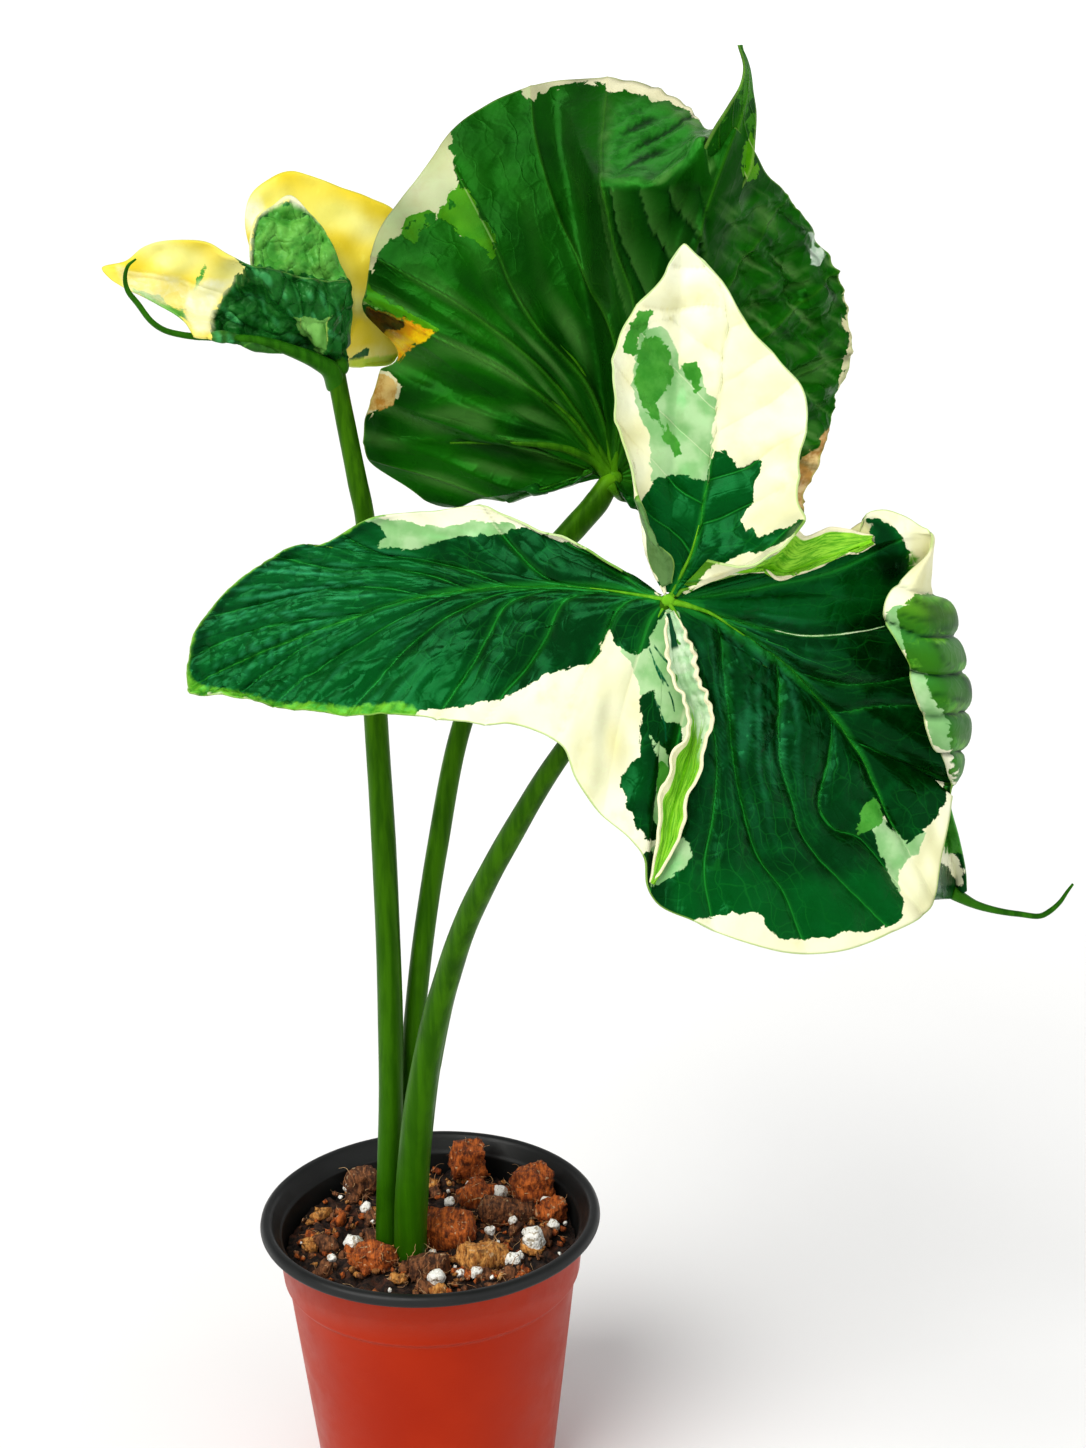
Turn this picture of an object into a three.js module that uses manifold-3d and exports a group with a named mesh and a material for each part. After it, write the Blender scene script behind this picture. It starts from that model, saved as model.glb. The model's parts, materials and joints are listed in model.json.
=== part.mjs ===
// A variegated xanthosoma in its nursery pot: pot, soil, three leaf stalks and three leaves.
// Millimetres, +Z up. The origin is the centre of the pot's underside.
import * as THREE from 'three';
import { mergeVertices } from 'three/addons/utils/BufferGeometryUtils.js';
import Module from 'manifold-3d';

const wasm = await Module();
wasm.setup();

// Driving dimensions of the pot and the soil
const POT_HEIGHT = 105;
const RIM_RADIUS = 60;
const RIM_WIDTH = 4.2;
const RIM_DROP = 3.8;
const BASE_RADIUS = 41.5;
const WALL_SLOPE = 0.1165;
const WALL_THICKNESS = 1.3;
const COLLAR_HEIGHT = 23;
const COLLAR_STEP = 1.4;
const FLOOR_THICKNESS = 1.8;
const DRAIN_HOLES = 8;
const DRAIN_RADIUS = 4;
const DRAIN_CIRCLE = 29;
const POT_SIDES = 40;
const SOIL_DEPTH_BELOW_RIM = 11.5;
const SOIL_SIDES = 36;
const SOIL_ROUGHNESS = 2.2;
const SOIL_EDGE_SUNK = 3;
const CLEARANCE = 0.35;

// Driving dimensions of the plant
const BLADE_THICKNESS = 0.9;
const STALK_SIDES = 10;
const STALK_STEPS_PER_PLACE = 1.6;
const STALK_ROOT = 26;
const STUB_LENGTH = 7;

// The view in which the plant's outlines were measured: a picture of 1086 by 1448 pixels,
// seen from EYE. A place is written [u, v, near]: the pixel, and the millimetres by which
// it stands toward the viewer of the pot's upright middle plane.
const PICTURE_MIDDLE = [543, 724];
const FOCAL_PIXELS = 2011;
const EYE = new THREE.Vector3(42.5, -640.2, POT_HEIGHT + 353.5);
const PITCH = THREE.MathUtils.degToRad(15.45);
const ROLL = THREE.MathUtils.degToRad(-0.93);
const forward = new THREE.Vector3(0, Math.cos(PITCH), -Math.sin(PITCH));
const level = new THREE.Vector3(1, 0, 0);
const upright = new THREE.Vector3().crossVectors(level, forward);
const right = level.clone().multiplyScalar(Math.cos(ROLL)).addScaledVector(upright, Math.sin(ROLL));
const up = upright.clone().multiplyScalar(Math.cos(ROLL)).addScaledVector(level, -Math.sin(ROLL));

function at([u, v, near]) {
  const ray = forward.clone();
  ray.addScaledVector(right, (u - PICTURE_MIDDLE[0]) / FOCAL_PIXELS);
  ray.addScaledVector(up, (PICTURE_MIDDLE[1] - v) / FOCAL_PIXELS);
  return EYE.clone().addScaledVector(ray, (-near - EYE.y) / ray.y);
}

// Half the width in millimetres of something some pixels wide that crosses a place
function halfWidth(place, pixels) {
  return (pixels / 2) * (at(place).sub(EYE).dot(forward) / FOCAL_PIXELS);
}

// Repeatable random numbers from 0 to 1
function randomFrom(seed) {
  let state = seed;
  return () => {
    state = (state * 1664525 + 1013904223) % 4294967296;
    return state / 4294967296;
  };
}

function mix(a, b, t) {
  return a.map((value, i) => value + (b[i] - value) * t);
}

function curveThrough(places) {
  const points = places.map((place) => new THREE.Vector3(...place));
  return new THREE.CatmullRomCurve3(points, false, 'centripetal');
}

// Closed bodies and their joins
function solidOf(geometry) {
  const bare = geometry.clone();
  bare.deleteAttribute('normal');
  bare.deleteAttribute('uv');
  const merged = mergeVertices(bare, 1e-5);
  return new wasm.Manifold(new wasm.Mesh({
    numProp: 3,
    vertProperties: Float32Array.from(merged.attributes.position.array),
    triVerts: Uint32Array.from(merged.index.array),
  }));
}

// The triangles of the largest connected shell: hollows sealed by a join are filled, and
// loose scraps are dropped
function mainShell(triangles, vertexCount) {
  const parent = Array.from({ length: vertexCount }, (_, i) => i);
  const rootOf = (i) => {
    let root = i;
    while (parent[root] !== root) root = parent[root];
    while (parent[i] !== root) [parent[i], i] = [root, parent[i]];
    return root;
  };
  for (let k = 0; k < triangles.length; k += 3) {
    parent[rootOf(triangles[k + 1])] = rootOf(triangles[k]);
    parent[rootOf(triangles[k + 2])] = rootOf(triangles[k]);
  }
  const shells = new Map();
  for (let k = 0; k < triangles.length; k += 3) {
    const root = rootOf(triangles[k]);
    if (!shells.has(root)) shells.set(root, []);
    shells.get(root).push(triangles[k], triangles[k + 1], triangles[k + 2]);
  }
  return [...shells.values()].reduce((best, shell) => (shell.length > best.length ? shell : best));
}

// A join leaves slivers. Each edge shorter than the limit is drawn together to one point
// where that keeps the surface closed.
const SHORTEST_EDGE = 0.04;

function withoutSlivers(positions, triangles) {
  const point = (i) => new THREE.Vector3().fromArray(positions, 3 * i);
  const faces = Array.from({ length: triangles.length / 3 }, (_, k) => triangles.slice(3 * k, 3 * k + 3));
  const facesOf = new Map();
  faces.forEach((face) => face.forEach((corner) => {
    if (!facesOf.has(corner)) facesOf.set(corner, new Set());
    facesOf.get(corner).add(face);
  }));
  const neighbours = (corner) => new Set([...facesOf.get(corner)].flat().filter((i) => i !== corner));
  const drawTogether = (keep, drop) => {
    const around = neighbours(keep);
    const shared = [...neighbours(drop)].filter((corner) => around.has(corner));
    if (shared.length !== 2) return false;
    [...facesOf.get(drop)].forEach((face) => {
      if (face.includes(keep)) {
        face.forEach((corner) => facesOf.get(corner).delete(face));
        face.length = 0;
      } else {
        face[face.indexOf(drop)] = keep;
        facesOf.get(keep).add(face);
      }
    });
    facesOf.delete(drop);
    return true;
  };
  const shortEdge = (face) => [[0, 1], [1, 2], [2, 0]].find(([i, j]) => (
    point(face[i]).distanceTo(point(face[j])) < SHORTEST_EDGE));
  faces.forEach((face) => {
    const edge = face.length ? shortEdge(face) : null;
    if (edge) drawTogether(face[edge[0]], face[edge[1]]);
  });
  return faces.flat();
}

function geometryOf(solid) {
  const mesh = solid.getMesh();
  const shell = mainShell(mesh.triVerts, mesh.vertProperties.length / 3);
  const geometry = new THREE.BufferGeometry();
  geometry.setAttribute('position', new THREE.BufferAttribute(mesh.vertProperties, 3));
  geometry.setIndex(withoutSlivers(mesh.vertProperties, shell));
  geometry.computeVertexNormals();
  return geometry;
}

function fuse(geometries) {
  return geometries.map(solidOf).reduce((whole, piece) => whole.add(piece));
}

// A closed body from rings of equally many points, with a flat cap at each end
function ringBody(rings) {
  const sides = rings[0].length;
  const positions = rings.flat();
  const first = positions.length;
  const middle = (ring) => ring.reduce((sum, p) => sum.add(p), new THREE.Vector3()).divideScalar(sides);
  positions.push(middle(rings[0]), middle(rings.at(-1)));
  const faces = [];
  for (let i = 0; i < rings.length - 1; i += 1) {
    for (let j = 0; j < sides; j += 1) {
      const a = i * sides + j;
      const b = i * sides + ((j + 1) % sides);
      faces.push(a, b, b + sides, a, b + sides, a + sides);
    }
  }
  const last = (rings.length - 1) * sides;
  for (let j = 0; j < sides; j += 1) {
    const next = (j + 1) % sides;
    faces.push(first, next, j);
    faces.push(first + 1, last + j, last + next);
  }
  const geometry = new THREE.BufferGeometry().setFromPoints(positions);
  geometry.setIndex(faces);
  return geometry;
}

// A tube along places, with a radius at each place
function tube(places, radii, steps, sides, extraStart = []) {
  const path = new THREE.CatmullRomCurve3([...extraStart, ...places.map(at)], false, 'centripetal');
  const widths = [...extraStart.map(() => radii[0]), ...radii];
  const rings = [];
  const frames = path.computeFrenetFrames(steps, false);
  for (let i = 0; i <= steps; i += 1) {
    const t = path.getUtoTmapping(i / steps);
    const centre = path.getPoint(t);
    const along = t * (widths.length - 1);
    const k = Math.min(Math.floor(along), widths.length - 2);
    const radius = THREE.MathUtils.lerp(widths[k], widths[k + 1], along - k);
    const ring = [];
    for (let j = 0; j < sides; j += 1) {
      const angle = (2 * Math.PI * j) / sides;
      const point = centre.clone();
      point.addScaledVector(frames.normals[i], radius * Math.cos(angle));
      point.addScaledVector(frames.binormals[i], radius * Math.sin(angle));
      ring.push(point);
    }
    rings.push(ring);
  }
  return ringBody(rings);
}

// A thin closed blade from a grid of points, thickened evenly to both sides and split into
// triangles alike on both faces
function thicken(grid, thickness) {
  const rows = grid.length;
  const columns = grid[0].length;
  const front = [];
  const back = [];
  for (let i = 0; i < rows; i += 1) {
    for (let j = 0; j < columns; j += 1) {
      const along = grid[Math.min(i + 1, rows - 1)][j].clone().sub(grid[Math.max(i - 1, 0)][j]);
      const across = grid[i][Math.min(j + 1, columns - 1)].clone().sub(grid[i][Math.max(j - 1, 0)]);
      const normal = along.cross(across).normalize().multiplyScalar(thickness / 2);
      front.push(grid[i][j].clone().add(normal));
      back.push(grid[i][j].clone().sub(normal));
    }
  }
  const count = rows * columns;
  const faces = [];
  const strip = (a, b) => faces.push(a, a + count, b + count, a, b + count, b);
  for (let i = 0; i < rows - 1; i += 1) {
    for (let j = 0; j < columns - 1; j += 1) {
      const a = i * columns + j;
      const b = a + columns;
      faces.push(a, b, b + 1, a, b + 1, a + 1);
      faces.push(count + a, count + b + 1, count + b, count + a, count + a + 1, count + b + 1);
    }
    strip(i * columns, (i + 1) * columns);
    strip((i + 2) * columns - 1, (i + 1) * columns - 1);
  }
  for (let j = 0; j < columns - 1; j += 1) {
    strip(j + 1, j);
    strip((rows - 1) * columns + j, (rows - 1) * columns + j + 1);
  }
  const geometry = new THREE.BufferGeometry().setFromPoints([...front, ...back]);
  geometry.setIndex(faces);
  return geometry;
}

// A blade's surface as places: curves laid side by side, each split alike at the given
// counts of its own places, so that a fold in one runs on into the next
function loft(curves, splits) {
  const last = curves[0].length - 1;
  return curves.map((places) => {
    const curve = curveThrough(places);
    return splits.map((split) => curve.getPoint(split / last).toArray());
  });
}

function blade(grid, thickness = BLADE_THICKNESS) {
  return thicken(grid.map((row) => row.map(at)), thickness);
}

// A rib of a leaf: seven places from its heart to the margin. cup stands the middle toward
// the viewer. fold is the outermost place of a margin that rolls forward over the blade.
const HEART_GAP = 8;
const PLAIN_SHARES = [0.25, 0.5, 0.72, 0.86, 0.94, 1];
const ROLL_BACK_PER_PIXEL = 0.13;
const RIB_SPLITS = [0, 0.8, 1.6, 2.3, 3, 4, 5, 6];
const SHORT_RIB_SPLITS = [0, 0.9, 1.7, 2.5, 3.3, 4.4, 6];

function rib(heart, margin, cup = 0, fold = null) {
  const reach = fold ?? margin;
  const length = Math.hypot(reach[0] - heart[0], reach[1] - heart[1]);
  const places = [HEART_GAP / length, ...PLAIN_SHARES].map((t) => {
    const place = mix(heart, reach, t);
    place[2] += cup * 4 * t * (1 - t);
    return place;
  });
  if (!fold) return places;
  const back = ROLL_BACK_PER_PIXEL * Math.hypot(fold[0] - margin[0], fold[1] - margin[1]);
  const before = mix(heart, fold, 0.95);
  before[2] = fold[2] - back;
  const over = mix(fold, margin, 0.45);
  over[2] = Math.max(fold[2], margin[2]) + 1;
  const [start, inner, middle] = places;
  return [start, inner, middle, before, fold, over, margin];
}

// How far toward the viewer a blade stands at a pixel
function nearOn(grid, u, v) {
  const places = grid.flat();
  const distance = (place) => Math.hypot(place[0] - u, place[1] - v);
  return places.reduce((best, place) => (distance(place) < distance(best) ? place : best))[2];
}

// A raised crest on a blade: two walls that rise from one keel line, sunk a little into the
// blade, to a left and a right lip. The lips are lowest at the crest's ends.
const KEEL_SUNK = 0.3;

function crest(grid, { keel, lips, height }) {
  const foot = keel.map(([u, v]) => [u, v, nearOn(grid, u, v) - KEEL_SUNK]);
  const liftAt = (i) => height * Math.sin((Math.PI * (i + 0.35)) / (keel.length - 0.3)) ** 0.7;
  return lips.map((lip) => {
    const top = lip.map(([u, v], i) => [u, v, nearOn(grid, u, v) + liftAt(i)]);
    return blade(foot.map((place, i) => [place, mix(place, top[i], 0.5), top[i]]));
  });
}

// The pot: a lathed wall with a stepped collar and a rolled rim, and drain holes
const wallAt = (z) => BASE_RADIUS + WALL_SLOPE * z;
const collarFoot = POT_HEIGHT - COLLAR_HEIGHT;

function potGeometry() {
  const outline = new THREE.Path();
  outline.moveTo(0, 0);
  outline.lineTo(BASE_RADIUS - 1, 0);
  outline.lineTo(wallAt(1), 1);
  outline.lineTo(wallAt(collarFoot - 0.8), collarFoot - 0.8);
  outline.lineTo(wallAt(collarFoot) + COLLAR_STEP, collarFoot + 0.6);
  const rimFoot = POT_HEIGHT - RIM_DROP;
  outline.lineTo(wallAt(rimFoot) + COLLAR_STEP, rimFoot + 0.6);
  outline.lineTo(RIM_RADIUS - 0.6, rimFoot);
  outline.lineTo(RIM_RADIUS, rimFoot + 1);
  outline.lineTo(RIM_RADIUS - 0.4, POT_HEIGHT - 0.9);
  outline.lineTo(RIM_RADIUS - 1.5, POT_HEIGHT);
  outline.lineTo(RIM_RADIUS - RIM_WIDTH + 0.9, POT_HEIGHT - 0.1);
  outline.lineTo(RIM_RADIUS - RIM_WIDTH, POT_HEIGHT - 1);
  outline.lineTo(wallAt(POT_HEIGHT) - WALL_THICKNESS + 0.9, POT_HEIGHT - 5.5);
  outline.lineTo(wallAt(collarFoot) - WALL_THICKNESS + COLLAR_STEP, collarFoot + 0.2);
  outline.lineTo(wallAt(collarFoot) - WALL_THICKNESS, collarFoot - 1.2);
  outline.lineTo(wallAt(FLOOR_THICKNESS) - WALL_THICKNESS, FLOOR_THICKNESS);
  outline.lineTo(0, FLOOR_THICKNESS);
  const lathe = new THREE.LatheGeometry(outline.getPoints(), POT_SIDES);
  lathe.rotateX(Math.PI / 2);
  let pot = solidOf(lathe);
  for (let i = 0; i < DRAIN_HOLES; i += 1) {
    const angle = (2 * Math.PI * (i + 0.5)) / DRAIN_HOLES;
    const hole = new THREE.CylinderGeometry(DRAIN_RADIUS, DRAIN_RADIUS, 3 * FLOOR_THICKNESS, 12);
    hole.rotateX(Math.PI / 2);
    hole.translate(DRAIN_CIRCLE * Math.cos(angle), DRAIN_CIRCLE * Math.sin(angle), FLOOR_THICKNESS / 2);
    pot = pot.subtract(solidOf(hole));
  }
  return geometryOf(pot);
}

// The soil: a filled body with a rough top, on which chips of coco husk and grains of
// perlite lie half sunk, and plain holes in which the stalks stand
const soilTop = POT_HEIGHT - SOIL_DEPTH_BELOW_RIM;
const soilFoot = FLOOR_THICKNESS + CLEARANCE;
const soilRadiusAt = (z) => wallAt(z) - WALL_THICKNESS - CLEARANCE;

// The room inside the pot, which nothing in the soil leaves
function potRoom() {
  const outline = new THREE.Path();
  outline.moveTo(0, soilFoot);
  outline.lineTo(soilRadiusAt(soilFoot), soilFoot);
  outline.lineTo(soilRadiusAt(POT_HEIGHT), POT_HEIGHT);
  outline.lineTo(0, POT_HEIGHT);
  const room = new THREE.LatheGeometry(outline.getPoints(), POT_SIDES);
  return room.rotateX(Math.PI / 2);
}

function soilBody(random) {
  const rings = [];
  const ringOf = (radius, height) => Array.from({ length: SOIL_SIDES }, (_, j) => {
    const angle = (2 * Math.PI * j) / SOIL_SIDES;
    return new THREE.Vector3(radius * Math.cos(angle), radius * Math.sin(angle), height());
  });
  const edgeHeight = soilTop - SOIL_EDGE_SUNK;
  rings.push(ringOf(soilRadiusAt(soilFoot), () => soilFoot));
  rings.push(ringOf(wallAt(edgeHeight), () => edgeHeight + random()));
  [46, 37, 28, 18, 8].forEach((radius) => {
    rings.push(ringOf(radius, () => soilTop + SOIL_ROUGHNESS * (random() - 0.5)));
  });
  return ringBody(rings);
}

function soilPoint([u, v]) {
  const ray = at([u, v, 0]).sub(EYE);
  return EYE.clone().addScaledVector(ray, (soilTop - EYE.z) / ray.z);
}

// A husk chip: a box with roughened corners and faces, tilted a little
const CHIP_ROUGHNESS = 0.28;
const CHIP_TILT = 0.35;

function chip([length, width, height], turn, random) {
  const box = new THREE.BoxGeometry(length, width, height, 2, 2, 1);
  box.deleteAttribute('normal');
  box.deleteAttribute('uv');
  const husk = mergeVertices(box);
  const corners = husk.attributes.position;
  const shifted = (value) => value * (1 + CHIP_ROUGHNESS * (random() - 0.5));
  for (let i = 0; i < corners.count; i += 1) {
    corners.setXYZ(i, shifted(corners.getX(i)), shifted(corners.getY(i)), shifted(corners.getZ(i)));
  }
  husk.rotateX(CHIP_TILT * (random() - 0.5));
  husk.rotateY(CHIP_TILT * (random() - 0.5));
  husk.rotateZ(turn);
  return husk;
}

// The chips that show best: [pixel, size in millimetres, turn]
const SHOWN_CHIPS = [
  [[468, 1166], [12, 10, 13], 0.3],
  [[449, 1240], [17, 13, 14], -0.25],
  [[532, 1190], [14, 11, 12], 0.5],
  [[507, 1216], [20, 9, 9], 0.25],
  [[482, 1262], [16, 12, 9], 0.6],
  [[428, 1270], [13, 10, 7], 0.1],
  [[373, 1262], [15, 10, 8], -0.5],
  [[362, 1186], [11, 9, 9], 0.9],
  [[478, 1200], [13, 9, 8], 1.1],
  [[552, 1214], [11, 8, 7], 0.8],
];
// The perlite grains that show best: [pixel, width in millimetres]
const SHOWN_GRAINS = [
  [[351, 1192], 5], [[354, 1248], 5.5], [[437, 1283], 5.5], [[534, 1247], 7], [[549, 1210], 5.5],
  [[366, 1211], 4], [[500, 1197], 4.5], [[553, 1230], 3.5], [[513, 1264], 4], [[433, 1256], 3],
  [[450, 1205], 3.5], [[473, 1183], 3],
];
const LOOSE_CHIPS = 6;
const LOOSE_GRAINS = 10;
const SOIL_SEED = 61;

function soilGeometry(stalkHoles) {
  const random = randomFrom(SOIL_SEED);
  const place = (geometry, x, y, z) => geometry.translate(x, y, z);
  const grain = (width) => {
    const ball = new THREE.IcosahedronGeometry(width / 2, 0);
    ball.rotateX(6 * random());
    ball.rotateZ(6 * random());
    return ball.scale(1, 0.85, 0.8);
  };
  const spread = (reach) => {
    const angle = 2 * Math.PI * random();
    const radius = reach * Math.sqrt(random());
    return [radius * Math.cos(angle), radius * Math.sin(angle)];
  };
  const pieces = [soilBody(random)];
  SHOWN_CHIPS.forEach(([pixel, size, turn]) => {
    const spot = soilPoint(pixel);
    pieces.push(place(chip(size, turn, random), spot.x, spot.y, soilTop + size[2] * 0.2));
  });
  SHOWN_GRAINS.forEach(([pixel, width]) => {
    const spot = soilPoint(pixel);
    pieces.push(place(grain(width), spot.x, spot.y, soilTop + width * 0.3));
  });
  for (let i = 0; i < LOOSE_CHIPS; i += 1) {
    const size = [6 + 6 * random(), 5 + 3 * random(), 4 + 3 * random()];
    const [x, y] = spread(41);
    pieces.push(place(chip(size, 3 * random(), random), x, y, soilTop + size[2] * 0.15));
  }
  for (let i = 0; i < LOOSE_GRAINS; i += 1) {
    const width = 2 + 2.5 * random();
    const [x, y] = spread(45);
    pieces.push(place(grain(width), x, y, soilTop + width * 0.4));
  }
  let soil = fuse(pieces).intersect(solidOf(potRoom()));
  stalkHoles.forEach((hole) => {
    soil = soil.subtract(solidOf(hole));
  });
  return geometryOf(soil);
}

// The stalks: [place, width in pixels] from the soil up to each leaf's heart
const LEFT_STALK = [
  [[388, 1243, 5], 25], [[391, 1100, 2], 25.5], [[390, 1000, -2], 26], [[384, 850, -7], 25],
  [[376, 722, -12], 24], [[370, 620, -17], 22], [[365, 520, -22], 20], [[357, 480, -24], 20],
  [[345, 420, -28], 19], [[336, 374, -30], 19],
];
const MIDDLE_STALK = [
  [[403, 1225, -5], 22], [[407, 1140, -6], 22], [[413, 1040, -7], 22], [[422, 950, -9], 21],
  [[437, 850, -11], 21], [[462, 725, -14], 20], [[505, 620, -17], 21], [[545, 560, -18], 23],
  [[575, 525, -18], 26], [[595, 500, -18], 26], [[613, 478, -18], 24],
];
const RIGHT_STALK = [
  [[410, 1250, 13], 33], [[412, 1180, 14], 33], [[420, 1100, 16], 31], [[434, 1025, 20], 28],
  [[448, 975, 24], 26], [[465, 925, 31], 25], [[489, 875, 39], 24], [[517, 825, 45], 23],
  [[547, 775, 51], 21], [[600, 700, 60], 19], [[640, 645, 67], 18], [[668, 602, 78.5], 18],
];

// A stalk stops a little short of the leaf, whose own stub carries on to its heart
function stalkParts(points) {
  const places = points.map(([place]) => place);
  const radii = points.map(([place, width]) => halfWidth(place, width));
  const top = places.at(-1);
  const under = places.at(-2);
  const lastStretch = at(top).distanceTo(at(under));
  const stop = mix(top, under, (STUB_LENGTH + CLEARANCE) / lastStretch);
  const start = mix(top, under, STUB_LENGTH / lastStretch);
  const root = at(places[0]).add(new THREE.Vector3(0, 0, -STALK_ROOT));
  const stalkPlaces = [...places.slice(0, -1), stop];
  const steps = Math.round(points.length * STALK_STEPS_PER_PLACE);
  const holeRadii = radii.map((radius) => radius + CLEARANCE);
  const deeper = root.clone().add(new THREE.Vector3(0, 0, -CLEARANCE));
  return {
    stalk: tube(stalkPlaces, radii, steps, STALK_SIDES, [root]),
    hole: tube(stalkPlaces, holeRadii, steps, STALK_SIDES, [deeper]),
    stub: tube([start, top], [radii.at(-1), radii.at(-1) * 0.9], 2, STALK_SIDES),
  };
}

// The left leaf: folded along its midrib, with a green lower face that runs out into a
// yellow lobe, a green upper lobe and a yellow back lobe
const LEFT_HEART = [340, 366, -30];
const LEFT_FACE = [
  [345, 281, -24], [314, 279, -18], [279, 271, -14], [251, 265, -11], [230, 255, -10],
  [208, 243, -13], [189, 240, -16], [157, 242, -20], [142, 248, -21], [126, 261, -21],
  [102, 268, -20], [108, 277, -19], [126, 289, -18], [157, 304, -15], [184, 321, -10],
  [192, 334, -8],
];
const LEFT_KEEL = [[330, 370, -27], [295, 352, -20], [265, 342, -15], [230, 338, -12], [194, 337, -11]];
const LEFT_KEEL_WIDTHS = [21, 16, 12, 9, 6];
const LEFT_TAIL = [
  [200, 337, -11], [183, 335, -9], [164, 330, -6], [151, 321, -4], [138, 304, -2], [128, 291, 0],
  [125, 279, 1], [128, 266, 2], [136, 259, 2],
];
const LEFT_TAIL_WIDTHS = [7, 6.5, 6, 6, 6, 5.5, 4.5, 3.5, 2];
const LEFT_UPPER_LOBE = [
  [349, 342, -33], [352, 314, -35], [347, 281, -37], [337, 257, -39], [325, 230, -41],
  [309, 212, -43], [290, 196, -45], [272, 206, -43], [258, 215, -41], [251, 230, -38],
  [250, 262, -34], [258, 290, -31],
];
const LEFT_BACK_LOBE = [
  [262, 290, -50], [250, 250, -53], [245, 216, -55], [251, 195, -57], [268, 180, -58],
  [289, 171, -59], [309, 175, -59], [342, 188, -60], [370, 198, -61], [396, 212, -61],
  [404, 250, -61], [404, 300, -60], [402, 335, -58], [396, 359, -56], [384, 364, -50],
  [360, 367, -42],
];

function leftLeaf(stub) {
  const keelCurve = curveThrough(LEFT_KEEL.map(([u, v, near]) => [u, v - 3, near]));
  const keelRib = keelCurve.getSpacedPoints(PLAIN_SHARES.length).map((point) => point.toArray());
  const face = loft([
    ...LEFT_FACE.map((margin) => rib(LEFT_HEART, margin, 5)),
    keelRib,
  ], SHORT_RIB_SPLITS);
  const upper = loft(LEFT_UPPER_LOBE.map((margin) => rib(LEFT_HEART, margin, 3)), SHORT_RIB_SPLITS);
  const back = loft(LEFT_BACK_LOBE.map((margin) => rib(LEFT_HEART, margin, -3)), SHORT_RIB_SPLITS);
  const round = (places, widths) => places.map((place, i) => halfWidth(place, widths[i]));
  return geometryOf(fuse([
    stub,
    tube(LEFT_KEEL, round(LEFT_KEEL, LEFT_KEEL_WIDTHS), 6, 8),
    tube(LEFT_TAIL, round(LEFT_TAIL, LEFT_TAIL_WIDTHS), 14, 6),
    knob(LEFT_HEART, 4.2),
    blade(face),
    blade(upper),
    blade(back),
  ]));
}

function knob(place, radius) {
  const centre = at(place);
  const ball = new THREE.IcosahedronGeometry(radius, 1);
  return ball.translate(centre.x, centre.y, centre.z);
}

// The back leaf: nearly round, seen from its ridged underside, with a fold below its top
// rim and a pointed tail. Margin places run from the lower left clockwise.
const BACK_HEART = [614, 478, -20];
const BACK_LEFT_MARGIN = [
  [596, 482, -21], [569, 489, -24], [519, 505, -28], [483, 505, -31], [444, 508, -34],
  [404, 489, -36], [368, 462, -38], [361, 424, -38], [369, 395, -38], [377, 366, -37],
  [394, 357, -37], [379, 330, -38], [363, 305, -39], [367, 274, -41], [379, 231, -45],
  [397, 203, -48], [426, 167, -54], [454, 128, -58], [483, 106, -61], [519, 90, -63],
  [554, 81, -65],
];
// Top ribs cross the fold: [margin, place on the fold]
const BACK_FOLDED = [
  [[597, 78, -66], [603, 181, -16]],
  [[644, 81, -66], [637, 180, -13]],
  [[669, 92, -64], [662, 176, -11]],
  [[690, 106, -58], [680, 160, -9]],
  [[708, 126, -40], [705, 136, -8]],
];
const BACK_RIGHT_MARGIN = [
  [728, 124, -9], [746, 136, -10], [757, 152, -14], [768, 174, -20], [786, 192, -27],
  [808, 221, -35], [829, 253, -41], [842, 278, -44], [852, 312, -46], [852, 335, -46],
  [847, 362, -46], [840, 392, -44], [834, 420, -42], [822, 450, -39], [812, 480, -36],
  [806, 510, -33], [790, 538, -31], [750, 556, -29], [700, 558, -27], [664, 542, -24],
  [640, 512, -22],
];
// The tail blade: [left edge, midrib, right edge] from inside the leaf to the tip
const BACK_TAIL = [
  [[686, 190, -10], [706, 206, -14], [738, 196, -14]],
  [[698, 160, -7], [721, 172, -11], [752, 168, -13]],
  [[713, 130, -5], [733, 140, -9], [755, 140, -13]],
  [[729, 105, -3], [742, 112, -7], [756, 112, -11]],
  [[741, 84, -2], [747, 90, -5], [753, 92, -8]],
  [[744, 66, -1], [747, 68, -3], [750, 70, -5]],
  [[738.5, 45, 1], [740.5, 45, 0], [742.5, 46, 0]],
];

function backLeaf(stub) {
  const folded = BACK_FOLDED.map(([margin, fold]) => {
    const places = rib(BACK_HEART, fold, 3);
    const behind = mix(fold, margin, 0.12);
    behind[2] = fold[2] - 12;
    const [start, first, second] = places;
    return [start, first, second, mix(second, fold, 0.5), fold, behind, margin];
  });
  const main = loft([
    ...BACK_LEFT_MARGIN.map((margin) => rib(BACK_HEART, margin, 9)),
    ...folded,
    ...BACK_RIGHT_MARGIN.map((margin) => rib(BACK_HEART, margin, 8)),
  ], RIB_SPLITS);
  return geometryOf(fuse([
    stub,
    knob(BACK_HEART, 4.6),
    blade(main),
    blade(BACK_TAIL),
  ]));
}

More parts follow.
